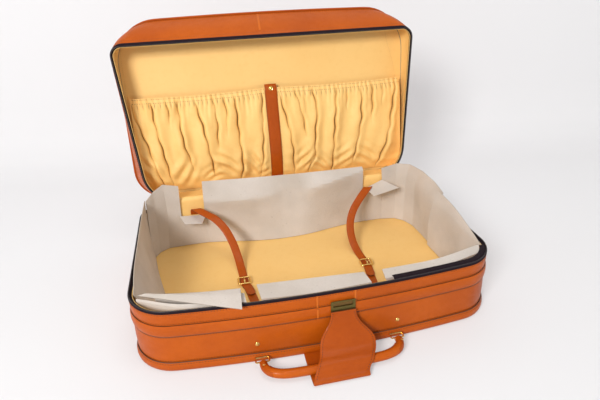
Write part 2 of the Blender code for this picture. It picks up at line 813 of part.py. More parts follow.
def zip_sliders():
    """Sliders parked at the zip's two ends on the back wall, each with a wire pull in its eye."""
    eye = pull_wire_radius + pull_eye_play
    eye_y = slider_depth - eye * 2
    eye_z = -slider_height + eye * 2
    pull_half = slider_width / 2 + eye + pull_wire_radius
    top = upper_band_bottom + slider_clearance + slider_height
    for side, label in ((-1, "left"), (1, "right")):
        x = side * zip_end_x
        outer = [(0, 0), (0, -slider_height), (slider_depth, -slider_height)]
        outer += [(slider_depth, -slider_height * slider_nose_share), (slider_depth / 2, 0)]
        hole = arc((eye_y, eye_z), eye, 0, 315, 7)
        place = (x, half_depth + seat_gap, top)
        turn = (math.pi / 2, 0, math.pi / 2)
        flat_plate("zip_slider_" + label, [outer, hole], slider_width, "brass", place, None, turn)
        pivot = add_pivot("pull_pivot_" + label, (x, half_depth + seat_gap + eye_y, top + eye_z))
        loop = rounded_box(pull_half, -pull_length, 0, pull_wire_radius * 2)
        points = [(across, 0, z) for across, z in loop]
        tube("zip_pull_" + label, points, pull_wire_radius, "brass", pivot, closed=True, detail=1)


def lid_shell(pivot):
    """Leather skin, boards, lining and zip half of the lid."""
    plan_plate("lid_outer_panel", 0, lid_panel_bottom, leather, "leather", pivot)
    welt = welt_profile(lid_height - welt_foot, lid_height - lid_welt_height)
    wall_ring("lid_welt", welt, leather, "leather", pivot)
    wall = [(leather_inset, lid_rim + tape_reveal), (leather_inset, lid_panel_bottom - seat_gap)]
    wall_ring("lid_wall", wall, leather, "leather", pivot)
    plan_plate("lid_board", leather + seat_gap, lid_board_bottom, board, "board", pivot)
    start = lid_rim + chain_radius * 2 + tape_width + seat_gap * 2
    inside = [(board_inset, start), (board_inset, lid_board_bottom - seat_gap)]
    wall_ring("lid_wall_board", inside, board, "board", pivot)
    inner = leather + board + seat_gap * 2
    plan_plate("lid_lining_panel", inner, lid_lining_bottom, lining, "lining", pivot)
    rim = lid_rim + chain_radius * 2 + seat_gap * 2
    cloth = [(lining_inset, rim), (lining_inset, lid_lining_bottom - seat_gap)]
    wall_ring("lid_lining_wall", cloth, lining, "lining", pivot)
    zip_half("lid", lid_rim, 1, pivot)


def pocket_side(away):
    """Half width inside the lid's lining at a distance from the hinge."""
    radius = corner_radius - inner_face
    drop = max(corner_radius - away, 0)
    return half_width - corner_radius + math.sqrt(radius * radius - drop * drop) - pocket_side_gap


def pocket_level(share):
    """How far the pocket stands off the lining, from its foot at 0 to its hem at 1."""
    place = share * (len(pocket_belly_shares) - 1)
    index = min(int(place), len(pocket_belly_shares) - 2)
    low, high = pocket_belly_shares[index:index + 2]
    return pocket_stand_off * (low + (high - low) * (place - index))


def lid_pockets(pivot):
    """Two gathered cloth pockets on the lid's lining, a strap between them and its snap."""
    rows_up = len(pocket_belly_shares)
    for side, label in ((-1, "left"), (1, "right")):
        rows = []
        for column in range(pocket_steps + 1):
            across = column / pocket_steps
            row = []
            for level in range(rows_up):
                share = level / (rows_up - 1)
                away = pocket_foot + (pocket_height - pocket_foot) * share
                x = pocket_half_gap + (pocket_side(away) - pocket_half_gap) * across
                slant = pocket_fold_slant_share * away * math.sin(math.tau * pocket_slant_waves * across)
                wave = math.sin(math.tau * (x + slant) / pocket_fold_pitch)
                calm = math.sin(math.pi * min(across, 1 - across) * 2) ** 0.5 if 0 < across < 1 else 0
                fold = pocket_fold_depth * wave * calm * pocket_level(share) / pocket_stand_off
                row.append((side * x, -away, lid_lining_bottom - pocket_level(share) + fold))
            rows.append(row)
        surface("pocket_" + label, rows, pocket_cloth, "lining", False, pivot)
    foot_z = lid_lining_bottom - seat_gap - pocket_strap_thickness / 2
    path = [(0, -pocket_foot, foot_z, pocket_strap_half_width)]
    for level in range(1, rows_up):
        share = level / (rows_up - 1)
        away = pocket_foot + (pocket_height - pocket_foot) * share
        path.append((0, -away, lid_lining_bottom - pocket_level(share), pocket_strap_half_width))
    top_z = lid_lining_bottom - pocket_level(1)
    path.append((0, -pocket_strap_top, top_z, pocket_strap_half_width))
    ribbon("pocket_strap", path, pocket_strap_thickness, "leather", pivot)
    snap_place = (0, -(pocket_height + pocket_strap_top) / 2, top_z - pocket_strap_thickness / 2 - seat_gap)
    profile = stud_profile(snap_radius, snap_height)
    turned("pocket_snap", profile, "brass", snap_place, pivot, (math.pi, 0, 0))


def lid_keeper(pivot):
    """Mushroom stud on the lid's outer panel that the catch plate's slot slips over."""
    neck = keeper_height - keeper_head
    head_edge = keeper_height - keeper_head * keeper_edge_share
    profile = [(0, keeper_height), (keeper_head_radius, head_edge), (keeper_head_radius, neck)]
    profile += [(keeper_post_radius, neck), (keeper_post_radius, keeper_thickness)]
    profile += [(keeper_radius, keeper_thickness), (keeper_radius, 0), (0, 0)]
    place = (flap_top_shift, front_y - half_depth + keeper_edge_distance, lid_height + seat_gap)
    turned("lid_keeper", profile, "brass", place, pivot)


def main():
    base_shell()
    base_inside()
    zip_half("base", base_height, -1)
    front_studs()
    handle_rings()
    handle()
    catch_flap()
    buckled_strap("left", strap_left_x, strap_left_root_x, strap_left_front_x)
    buckled_strap("right", strap_right_x, strap_right_root_x, strap_right_front_x)
    card_liner()
    hinge_strips()
    zip_sliders()
    lid_pivot = add_pivot("lid_pivot", (0, half_depth, hinge_z), None, -open_angle)
    lid_shell(lid_pivot)
    lid_pockets(lid_pivot)
    lid_keeper(lid_pivot)


main()
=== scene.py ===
import math
import random

import bpy
import numpy as np
from mathutils import Matrix, Vector


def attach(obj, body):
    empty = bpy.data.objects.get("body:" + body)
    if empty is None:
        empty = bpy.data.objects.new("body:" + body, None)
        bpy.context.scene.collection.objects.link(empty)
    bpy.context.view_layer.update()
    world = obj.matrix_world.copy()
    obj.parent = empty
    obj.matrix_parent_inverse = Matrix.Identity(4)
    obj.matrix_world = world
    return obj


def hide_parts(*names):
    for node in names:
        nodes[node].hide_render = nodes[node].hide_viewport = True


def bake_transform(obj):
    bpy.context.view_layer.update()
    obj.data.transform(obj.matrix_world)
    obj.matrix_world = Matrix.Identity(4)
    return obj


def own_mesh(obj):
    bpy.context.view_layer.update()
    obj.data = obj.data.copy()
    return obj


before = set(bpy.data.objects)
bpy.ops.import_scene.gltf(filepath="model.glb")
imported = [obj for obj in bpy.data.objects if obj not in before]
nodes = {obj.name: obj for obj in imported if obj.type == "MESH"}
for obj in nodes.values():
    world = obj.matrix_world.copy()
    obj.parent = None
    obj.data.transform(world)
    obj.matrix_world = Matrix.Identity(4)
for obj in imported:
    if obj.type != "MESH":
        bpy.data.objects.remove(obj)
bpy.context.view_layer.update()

# Main sizes of the case, in metres
case_half = 0.330
case_reach = 0.414
case_back_y = 0.207
corner = 0.065
front_bow = 0.024
rim_z = 0.1220
hinge_z = 0.1223
open_turn = math.radians(98)
leather_thick = 0.0020
cloth_thick = 0.0009
card_thick = 0.0013
board_thick = 0.0022
seam_thick = 0.0008
lining_inset = 0.0066
floor_z = 0.0069
zip_end_x = 0.250

# Raised lid: its soft free wall sags towards the hinge
lid_depth = 0.0690
lid_rim_half = 0.346
lid_rim_reach = 0.3545
lid_rim_taper = 0.100
lid_rim_lean = 0.009
lid_rim_corners = (0.068, 0.022)
lid_panel_half = 0.341
lid_panel_reach = 0.4035
lid_panel_corners = (corner, 0.094)
lid_panel_bow = 0.006
lid_wall_swell = 0.006
lining_w = 0.0625

# Counts along the outline of the case
back_steps = 12
corner_steps = 12
side_steps = 18
front_steps = 36


# ---- materials ----
def feed(tree, sockets, values):
    """Link each named socket to a value that is a socket, or set it."""
    for key, value in values.items():
        if isinstance(value, bpy.types.NodeSocket):
            tree.links.new(value, sockets[key])
        else:
            sockets[key].default_value = value


def place(tree, kind, values, **settings):
    """Add a shader node, set its options and feed its inputs."""
    node = tree.nodes.new(kind)
    for key, value in settings.items():
        setattr(node, key, value)
    feed(tree, node.inputs, values)
    return node


def new_group(name, number, start, outputs):
    """Start a node group with a Vector and a number input; gives its tree, input and output sockets."""
    tree = bpy.data.node_groups.new(name, "ShaderNodeTree")
    tree.interface.new_socket("Vector", in_out="INPUT", socket_type="NodeSocketVector")
    tree.interface.new_socket(number, in_out="INPUT", socket_type="NodeSocketFloat").default_value = start
    for label in outputs:
        tree.interface.new_socket(label, in_out="OUTPUT", socket_type="NodeSocketFloat")
    return tree, tree.nodes.new("NodeGroupInput").outputs, tree.nodes.new("NodeGroupOutput").inputs


def maths(tree, operation, first, second):
    """One arithmetic node; gives its result."""
    return place(tree, "ShaderNodeMath", {0: first, 1: second}, operation=operation).outputs[0]


def noise(tree, where, scale, detail, **more):
    """Fractal noise; gives its value."""
    values = {"Vector": where, "Scale": scale, "Detail": detail, **more}
    return place(tree, "ShaderNodeTexNoise", values).outputs["Fac"]


def ranged(tree, value, low, high, from_low=0.0, from_high=1.0):
    """Map a value to a range; gives the result."""
    ends = {"Value": value, "From Min": from_low, "From Max": from_high, "To Min": low, "To Max": high}
    return place(tree, "ShaderNodeMapRange", ends).outputs[0]


def mixed(tree, share, first, second):
    """Mix two colours; gives the colour."""
    sides = [c if isinstance(c, bpy.types.NodeSocket) else (*c, 1.0) for c in (first, second)]
    return place(tree, "ShaderNodeMix", {0: share, 6: sides[0], 7: sides[1]}, data_type="RGBA").outputs[2]


def bumped(tree, height, depth):
    """Normal of a surface whose height has the given depth, in metres."""
    return place(tree, "ShaderNodeBump", {"Height": height, "Distance": depth, "Strength": 1.0}).outputs[0]


def make_hide_grain():
    """Pebbled skin of finished leather: small cells, finer pores and long creases."""
    tree, given, out = new_group("hide_grain", "Cell", 0.0016, ["Height", "Tone"])
    where = given["Vector"]
    warp = place(tree, "ShaderNodeTexNoise", {"Vector": where, "Scale": 90.0, "Detail": 2.0}).outputs["Color"]
    shift = place(tree, "ShaderNodeVectorMath", {0: warp, "Scale": 0.0030}, operation="SCALE").outputs[0]
    moved = place(tree, "ShaderNodeVectorMath", {0: where, 1: shift}, operation="ADD").outputs[0]
    scale = maths(tree, "DIVIDE", 1.0, given["Cell"])
    cells = place(tree, "ShaderNodeTexVoronoi", {"Vector": moved, "Scale": scale}, feature="DISTANCE_TO_EDGE")
    crack = ranged(tree, cells.outputs["Distance"], 0.0, 1.0, 0.0, 0.22)
    pores = noise(tree, where, 2600.0, 2.0)
    broad = maths(tree, "MULTIPLY", noise(tree, where, 60.0, 4.0), 1.2)
    fine = maths(tree, "ADD", crack, maths(tree, "MULTIPLY", pores, 0.25))
    feed(tree, out, {"Height": maths(tree, "ADD", fine, broad),
                     "Tone": maths(tree, "MULTIPLY", crack, maths(tree, "ADD", pores, 0.5))})
    return tree


def make_patina():
    """Broad uneven colour from handling and finer mottling."""
    tree, given, out = new_group("patina", "Size", 0.08, ["Broad", "Mottle"])
    scale = maths(tree, "DIVIDE", 1.0, given["Size"])
    fine_scale = maths(tree, "MULTIPLY", scale, 9.0)
    feed(tree, out, {"Broad": ranged(tree, noise(tree, given["Vector"], scale, 3.0), 0.0, 1.0, 0.32, 0.68),
                     "Mottle": noise(tree, given["Vector"], fine_scale, 5.0, Roughness=0.65)})
    return tree


def make_weave():
    """Height of plain woven threads across and along a cloth."""
    tree, given, out = new_group("plain_weave", "Thread", 0.0006, ["Height"])
    scale = maths(tree, "MULTIPLY", maths(tree, "DIVIDE", 1.0, given["Thread"]), 0.31)
    threads = {"Vector": given["Vector"], "Scale": scale, "Distortion": 0.6, "Detail": 1.0}
    bands = [place(tree, "ShaderNodeTexWave", threads, bands_direction=way).outputs["Fac"] for way in "XY"]
    feed(tree, out, {"Height": maths(tree, "MULTIPLY", *bands)})
    return tree


hide_grain = make_hide_grain()
patina = make_patina()
plain_weave = make_weave()


def start_material(name, metres=True):
    """Material, its tree, the shader's inputs and the coordinates, in metres, that its pattern follows."""
    material = bpy.data.materials.new(name)
    material.use_nodes = True
    tree = material.node_tree
    where = tree.nodes.new("ShaderNodeTexCoord").outputs["UV" if metres else "Object"]
    return material, tree, tree.nodes["Principled BSDF"].inputs, where


def grouped(tree, group, where, **numbers):
    """Place a shared node group in a material; gives its outputs."""
    return place(tree, "ShaderNodeGroup", {"Vector": where, **numbers}, node_tree=group).outputs


def leather_finish(name, tan, shade, cell=0.0016, depth=0.00016, rough=(0.34, 0.52), metres=True):
    """Tan leather: two tones of patina, pebbled grain, and gloss that varies with handling."""
    material, tree, shader, where = start_material(name, metres)
    grain = grouped(tree, hide_grain, where, Cell=cell)
    age = grouped(tree, patina, where, Size=0.11)
    colour = mixed(tree, maths(tree, "MULTIPLY", age["Broad"], 0.55), tan, shade)
    colour = mixed(tree, ranged(tree, age["Mottle"], 0.0, 0.35, 0.45, 0.75), colour, shade)
    colour = mixed(tree, ranged(tree, grain["Tone"], 0.16, 0.0), colour, tuple(c * 0.45 for c in shade))
    feed(tree, shader, {"Base Color": colour, "Roughness": ranged(tree, age["Mottle"], *rough, 0.3, 0.7),
                        "Specular IOR Level": 0.13, "Coat Weight": 0.13, "Coat Roughness": 0.18,
                        "Normal": bumped(tree, grain["Height"], depth)})
    return material


def mottled_finish(name, tone, light, rough, metres=True):
    """Smooth surface of two tones: edge paint rubbed lighter in places, or the zip's moulded coil."""
    material, tree, shader, where = start_material(name, metres)
    mottle = grouped(tree, patina, where, Size=0.02)["Mottle"]
    feed(tree, shader, {"Base Color": mixed(tree, mottle, tone, light),
                        "Roughness": ranged(tree, mottle, *rough), "Normal": bumped(tree, mottle, 0.0002)})
    return material


def thread_finish(name, tone, light):
    """Twisted waxed thread."""
    material, tree, shader, where = start_material(name, False)
    age = grouped(tree, patina, where, Size=0.004)
    twist = place(tree, "ShaderNodeTexWave", {"Vector": where, "Scale": 700.0})
    feed(tree, shader, {"Base Color": mixed(tree, age["Mottle"], tone, light), "Roughness": 0.6,
                        "Normal": bumped(tree, twist.outputs["Fac"], 0.0002)})
    return material


def lining_finish(name, colour, shade, rough, wrinkle, crease_shade_colour=None):
    """Warm yellow lining cloth with a fine grain and soft stains; given a crease shade colour, its folds get
    painted shade.
    """
    material, tree, shader, where = start_material(name)
    weave = grouped(tree, plain_weave, where, Thread=0.0009)["Height"]
    age = grouped(tree, patina, where, Size=0.13)
    tint = mixed(tree, maths(tree, "MULTIPLY", age["Broad"], 0.35), colour, shade)
    tint = mixed(tree, ranged(tree, age["Mottle"], 0.0, 0.5, 0.5, 0.8), tint, shade)
    tint = mixed(tree, ranged(tree, weave, 0.10, 0.0), tint, tuple(c * 0.6 for c in shade))
    # Painted shade: darkens the cloth where a per-point attribute marks the bottoms of its folds.
    if crease_shade_colour:
        marks = place(tree, "ShaderNodeAttribute", {}, attribute_name="fold_painted_shade")
        tint = mixed(tree, marks.outputs["Fac"], tint, crease_shade_colour)
    soft = maths(tree, "MULTIPLY", noise(tree, where, 24.0, 4.0), wrinkle)
    height = maths(tree, "ADD", maths(tree, "MULTIPLY", weave, 0.10), soft)
    gloss = ranged(tree, age["Mottle"], rough - 0.07, rough + 0.07)
    feed(tree, shader, {"Base Color": tint, "Roughness": gloss, "Specular IOR Level": 0.42,
                        "Normal": bumped(tree, height, 0.0010)})
    return material


def card_finish():
    """Grey-beige pulp card with fibres, specks, scuffs and faint press marks."""
    material, tree, shader, where = start_material("pulp_card")
    age = grouped(tree, patina, where, Size=0.10)
    stretch = place(tree, "ShaderNodeMapping", {"Vector": where, "Scale": (1.0, 6.0, 1.0)}).outputs[0]
    fibre = noise(tree, stretch, 240.0, 5.0, Roughness=0.7)
    speck = place(tree, "ShaderNodeTexVoronoi", {"Vector": where, "Scale": 130.0, "Randomness": 1.0})
    dots = ranged(tree, speck.outputs["Distance"], 0.65, 0.0, 0.05, 0.16)
    rare = ranged(tree, noise(tree, where, 45.0, 2.0), 0.0, 1.0, 0.56, 0.66)
    colour = mixed(tree, age["Broad"], (0.625, 0.562, 0.508), (0.520, 0.460, 0.402))
    colour = mixed(tree, ranged(tree, fibre, 0.0, 0.38, 0.42, 0.72), colour, (0.42, 0.36, 0.295))
    colour = mixed(tree, maths(tree, "MULTIPLY", dots, rare), colour, (0.22, 0.17, 0.12))
    height = maths(tree, "ADD", fibre, maths(tree, "MULTIPLY", age["Mottle"], 2.0))
    feed(tree, shader, {"Base Color": colour, "Roughness": 0.85, "Specular IOR Level": 0.25,
                        "Normal": bumped(tree, height, 0.0004)})
    return material


def card_edge_finish():
    """Cut edge of the card, darker and fuzzier than its face."""
    material, tree, shader, where = start_material("card_edge")
    layers = noise(tree, where, 900.0, 3.0)
    feed(tree, shader, {"Base Color": mixed(tree, layers, (0.50, 0.43, 0.36), (0.33, 0.27, 0.21)),
                        "Roughness": 0.95, "Normal": bumped(tree, layers, 0.0003)})
    return material


def tape_finish():
    """Near-black woven zip tape with a little lint."""
    material, tree, shader, where = start_material("zip_tape_weave")
    weave = grouped(tree, plain_weave, where, Thread=0.0012)["Height"]
    lint = ranged(tree, grouped(tree, patina, where, Size=0.03)["Mottle"], 0.0, 0.5, 0.6, 0.85)
    colour = mixed(tree, weave, (0.010, 0.005, 0.008), (0.034, 0.018, 0.026))
    feed(tree, shader, {"Base Color": mixed(tree, lint, colour, (0.075, 0.055, 0.060)), "Roughness": 0.8,
                        "Specular IOR Level": 0.15, "Normal": bumped(tree, weave, 0.0004)})
    return material


def brass_finish(name, bright, dull, rough, dullness):
    """Brass with brushed scratches, finger marks and tarnish."""
    material, tree, shader, where = start_material(name, False)
    mottle = grouped(tree, patina, where, Size=0.012)["Mottle"]
    brushed = place(tree, "ShaderNodeMapping", {"Vector": where, "Scale": (1.0, 1.0, 12.0)}).outputs[0]
    share = ranged(tree, mottle, dullness - 0.25, dullness + 0.35, 0.35, 0.65)
    feed(tree, shader, {"Base Color": mixed(tree, share, bright, dull), "Metallic": 1.0,
                        "Roughness": ranged(tree, mottle, rough - 0.08, rough + 0.16, 0.3, 0.7),
                        "Normal": bumped(tree, noise(tree, brushed, 700.0, 3.0), 0.00008)})
    return material


tan = leather_finish("tan_leather", (0.540, 0.104, 0.0035), (0.375, 0.059, 0.0020))
tan_fine = leather_finish("tan_leather_fine", (0.455, 0.080, 0.0032), (0.310, 0.047, 0.0018), 0.0011, 0.00012)
# Lighter tan for the raised seam strips.
seam_leather = leather_finish("tan_leather_lighter", (0.63, 0.150, 0.014), (0.52, 0.105, 0.008), 0.0012, 0.00012)
board = leather_finish("board_fibre", (0.33, 0.27, 0.21), (0.24, 0.19, 0.14), 0.002, 0.0001, (0.8, 0.95),
                       False)
edge_paint = mottled_finish("burnished_edge", (0.060, 0.018, 0.008), (0.17, 0.050, 0.014), (0.35, 0.6))
coil = mottled_finish("zip_coil", (0.008, 0.005, 0.007), (0.030, 0.020, 0.024), (0.25, 0.5), False)
dark_thread = thread_finish("dark_thread", (0.050, 0.016, 0.008), (0.12, 0.040, 0.016))
hem_thread = thread_finish("hem_thread", (0.20, 0.085, 0.020), (0.34, 0.16, 0.045))
pale_thread = thread_finish("pale_thread", (0.45, 0.26, 0.08), (0.62, 0.38, 0.13))
lining = lining_finish("lining_cloth", (0.930, 0.590, 0.205), (0.860, 0.505, 0.150), 0.50, 0.45)
# The pocket cloth's last colour is painted shade for the bottoms of its folds.
pocket_cloth = lining_finish("pocket_cloth", (0.925, 0.585, 0.200), (0.850, 0.490, 0.140), 0.52, 0.9,
                             (0.230, 0.105, 0.024))
card = card_finish()
card_edge = card_edge_finish()
tape = tape_finish()
brass = brass_finish("brass", (0.95, 0.66, 0.22), (0.60, 0.38, 0.10), 0.20, 0.20)
old_brass = brass_finish("old_brass", (0.27, 0.22, 0.075), (0.10, 0.085, 0.026), 0.40, 0.50)
bronze = brass_finish("bronze", (0.30, 0.185, 0.065), (0.16, 0.095, 0.032), 0.45, 0.45)

# Finishes of a sheet's two faces and its edge
hide = [tan, tan, edge_paint]
fine_hide = [tan_fine, tan_fine, edge_paint]
seam_hide = [seam_leather, seam_leather, edge_paint]
lined = [lining] * 3
boarded = [board] * 3


# ---- mesh helpers ----
def fit(piece, body, slot, *replaced):
    """Say which body carries a piece and which CAD nodes it stands for; slot is not used."""
    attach(piece, body)
    if replaced:
        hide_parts(*replaced)


def mm(points):
    """Points given in millimetres, in metres."""
    return np.array(points, float) / 1000


def smooth_line(points, count):
    """Smooth curve through points of any width, at even steps of its length."""
    given = np.array(points, float)
    steps = np.linalg.norm(np.diff(given[:, :3], axis=0), axis=1)
    at = np.concatenate([[0], np.cumsum(steps)])
    slope = np.zeros_like(given)
    slope[1:-1] = (given[2:] - given[:-2]) / (at[2:] - at[:-2])[:, None]
    slope[0] = (given[1] - given[0]) / steps[0]
    slope[-1] = (given[-1] - given[-2]) / steps[-1]
    out = []
    for spot in np.linspace(0, at[-1], count):
        i = min(int(np.searchsorted(at, spot, side="right")) - 1, len(steps) - 1)
        t = (spot - at[i]) / steps[i]
        a, b = 2 * t**3 - 3 * t**2 + 1, t**3 - 2 * t**2 + t
        c, d = 3 * t**2 - 2 * t**3, t**3 - t**2
        out.append(a * given[i] + b * steps[i] * slope[i] + c * given[i + 1] + d * steps[i] * slope[i + 1])
    return np.array(out)


def directions(points):
    """Unit vectors along a run of points."""
    run = np.gradient(points, axis=0)
    return run / np.linalg.norm(run, axis=1, keepdims=True)


def lengths(points, closed=False):
    """Distance along a run of points."""
    run = np.linalg.norm(np.diff(points, axis=0), axis=1)
    if closed:
        run = np.append(run, np.linalg.norm(points[0] - points[-1]))
    return np.concatenate([[0], np.cumsum(run)])


def build(name, verts, faces, materials, marks=None, uvs=None, sharp=40):
    """Make an object from lists, smooth but for edges sharper than an angle in degrees."""
    mesh = bpy.data.meshes.new(name)
    mesh.from_pydata([tuple(v) for v in verts], [], faces)
    for material in materials:
        mesh.materials.append(material)
    if marks:
        mesh.polygons.foreach_set("material_index", marks)
    if uvs:
        layer = mesh.uv_layers.new(name="metres")
        layer.data.foreach_set("uv", [c for face in uvs for pair in face for c in pair])
    mesh.polygons.foreach_set("use_smooth", [True] * len(mesh.polygons))
    mesh.set_sharp_from_angle(angle=math.radians(sharp))
    mesh.validate()
    piece = bpy.data.objects.new(name, mesh)
    bpy.context.scene.collection.objects.link(piece)
    return piece


def slab(name, grid, thickness, materials, wrap=False, flip=False, sharp=40, uv=None):
    """Closed sheet from a grid of points, rows by columns; materials are for its two faces and its rim."""
    grid = np.array(grid, float)
    rows, cols = grid.shape[:2]
    if wrap:
        across = (np.roll(grid, -1, axis=1) - np.roll(grid, 1, axis=1)) / 2
    else:
        across = np.gradient(grid, axis=1)
    normal = np.cross(across, np.gradient(grid, axis=0)) * (-1 if flip else 1)
    normal /= np.maximum(np.linalg.norm(normal, axis=2, keepdims=True), 1e-9)
    half = np.broadcast_to(np.asarray(thickness, float), (rows, cols))[..., None] / 2
    verts = np.concatenate([(grid + normal * half).reshape(-1, 3), (grid - normal * half).reshape(-1, 3)])
    if uv is None:
        uv = [[(u, v) for u in lengths(grid[rows // 2], wrap)] for v in lengths(grid[:, cols // 2])]
    under = rows * cols
    last = cols if wrap else cols - 1
    faces, marks, uvs, rim = [], [], [], []
    for r in range(rows - 1):
        for c in range(last):
            n = (c + 1) % cols
            quad = [r * cols + c, r * cols + n, (r + 1) * cols + n, (r + 1) * cols + c]
            pairs = [uv[r][c], uv[r][c + 1], uv[r + 1][c + 1], uv[r + 1][c]]
            faces += [quad[::-1], [under + i for i in quad]]
            uvs += [pairs[::-1], pairs]
            marks += [0, 1]
    for c in range(last):
        n = (c + 1) % cols
        rim.append((c, n, uv[0][c], uv[0][c + 1]))
        rim.append(((rows - 1) * cols + n, (rows - 1) * cols + c, uv[-1][c + 1], uv[-1][c]))
    for r in range(0 if wrap else rows - 1):
        rim.append(((r + 1) * cols, r * cols, uv[r + 1][0], uv[r][0]))
        rim.append((r * cols + cols - 1, (r + 1) * cols + cols - 1, uv[r][-1], uv[r + 1][-1]))
    for a, b, pair_a, pair_b in rim:
        faces.append([a, b, under + b, under + a])
        uvs.append([pair_a, pair_b, pair_b, pair_a])
        marks.append(2)
    if flip:
        faces = [face[::-1] for face in faces]
        uvs = [pairs[::-1] for pairs in uvs]
    return build(name, verts, faces, materials, marks, uvs, sharp)


def swept(name, rings, materials, which=None, closed=True, sharp=40):
    """Solid from a closed section carried along a line: rings holds one line per section point."""
    rings = np.array(rings, float)
    count, along = rings.shape[:2]
    which = which or [0] * count
    u, v = lengths(rings[0], closed), lengths(rings[:, 0], True)
    faces, marks, uvs = [], [], []
    for k in range(count):
        m = (k + 1) % count
        for i in range(along if closed else along - 1):
            j = (i + 1) % along
            faces.append([k * along + i, k * along + j, m * along + j, m * along + i])
            uvs.append([(u[i], v[k]), (u[i + 1], v[k]), (u[i + 1], v[k + 1]), (u[i], v[k + 1])])
            marks.append(which[k])
    if not closed:
        for i, order in ((0, range(count)), (along - 1, range(count - 1, -1, -1))):
            faces.append([k * along + i for k in order])
            uvs.append([(rings[k, i, 0], rings[k, i, 2]) for k in order])
            marks.append(which[0])
    return build(name, rings.reshape(-1, 3), faces, materials, marks, uvs, sharp)


def tube(name, path, radius, material, closed=False, sides=12, squash=1.0):
    """Round rod along a path; radius may vary along it, and squash flattens it."""
    path = np.array(path, float)
    radius = np.broadcast_to(np.asarray(radius, float), (len(path),))[:, None]
    if closed:
        tangent = np.roll(path, -1, axis=0) - np.roll(path, 1, axis=0)
        tangent /= np.linalg.norm(tangent, axis=1, keepdims=True)
    else:
        tangent = directions(path)
    guide = (0, 0, 1)
    if abs(tangent[:, 2]).max() > 0.9:
        guide = (1, 0, 0) if abs(tangent[:, 0]).max() < 0.9 else (0, 1, 0)
    side = np.cross(tangent, guide)
    side /= np.linalg.norm(side, axis=1, keepdims=True)
    up = np.cross(side, tangent) * squash
    turns = [-math.tau * k / sides for k in range(sides)]
    rings = [path + side * (radius * math.cos(a)) + up * (radius * math.sin(a)) for a in turns]
    return swept(name, rings, [material], None, closed, 60)


def ribbon(name, stations, thickness, materials, columns=(-1, -0.92, -0.4, 0.4, 0.92, 1), thin=0.55,
           flip=False, level=False):
    """Strap along stations (x, y, z, half width), with thinned edges; level keeps its width along x."""
    path, half = stations[:, :3], stations[:, 3]
    tangent = directions(path)
    across = np.array([1.0, 0, 0]) - tangent * tangent[:, :1] * (0 if level else 1)
    across /= np.linalg.norm(across, axis=1, keepdims=True)
    grid = np.array([path + across * (half * c)[:, None] for c in columns]).transpose(1, 0, 2)
    thick = np.array([thickness * (thin if abs(c) == 1 else 1) for c in columns])
    run = lengths(path)
    uv = [[(half[r] * c, run[r]) for c in columns] for r in range(len(path))]
    return slab(name, grid, np.broadcast_to(thick, grid.shape[:2]), materials, flip=flip, uv=uv), grid


def sheet_normals(grid):
    """Unit normals of a grid of points."""
    normal = np.cross(np.gradient(grid, axis=1), np.gradient(grid, axis=0))
    return normal / np.maximum(np.linalg.norm(normal, axis=2, keepdims=True), 1e-9)


def stitches(name, path, normals, body, material, pitch=0.0048, length=0.0037, width=0.0011, closed=False,
             cross=False):
    """Row of raised stitches on a line; with cross set they lie across it, as zip teeth do."""
    path = np.array(path, float)
    normals = np.broadcast_to(np.array(normals, float), path.shape)
    if closed:
        path = np.vstack([path, path[:1]])
        normals = np.vstack([normals, normals[:1]])
    run = lengths(path)
    verts, faces = [], []
    spot = pitch / 2
    while spot < run[-1] - pitch * 0.4:
        i = min(int(np.searchsorted(run, spot, side="right")) - 1, len(path) - 2)
        step = max(run[i + 1] - run[i], 1e-9)
        t = (spot - run[i]) / step
        middle = path[i] * (1 - t) + path[i + 1] * t
        lift = normals[i] * (1 - t) + normals[i + 1] * t
        lift /= np.linalg.norm(lift)
        tangent = (path[i + 1] - path[i]) / step
        side = np.cross(lift, tangent)
        side /= np.linalg.norm(side)
        if cross:
            tangent, side = side, tangent
        base = len(verts)
        end, wide, sunk = tangent * length / 2, side * width / 2, lift * width * 0.2
        verts += [middle - end - sunk, middle + wide, middle + end - sunk, middle - wide,
                  middle + lift * width * 0.6, middle - lift * width * 0.5]
        for a, b in ((0, 1), (1, 2), (2, 3), (3, 0)):
            faces += [[base + a, base + b, base + 4], [base + b, base + a, base + 5]]
        spot += pitch
    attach(build(name, verts, faces, [material], sharp=180), body)


# Pitch, length and width of the fine stitches on narrow straps
fine_stitch = {"pitch": 0.0042, "length": 0.0030, "width": 0.0007}
tight_stitch = {**fine_stitch, "pitch": 0.0044}


def turned(name, profile, centre, axis, material, steps=20):
    """Round piece from a profile of (radius, height) pairs in millimetres, its height along an axis."""
    turn = Vector(axis).normalized().to_track_quat("Z", "Y").to_matrix()
    verts = []
    for radius, height in mm(profile):
        for angle in [math.tau * k / steps for k in range(steps)]:
            spot = turn @ Vector((radius * math.cos(angle), radius * math.sin(angle), height))
            verts.append(Vector(centre) + spot)
    faces = []
    for r in range(len(profile) - 1):
        for k in range(steps):
            n = (k + 1) % steps
            faces.append([r * steps + k, r * steps + n, (r + 1) * steps + n, (r + 1) * steps + k])
    faces.append(list(range(steps))[::-1])
    faces.append([(len(profile) - 1) * steps + k for k in range(steps)])
    return build(name, verts, faces, [material], sharp=50)


def paint(node, material):
    """Give a CAD node its finish."""
    slots = nodes[node].data.materials
    slots.clear()
    slots.append(material)


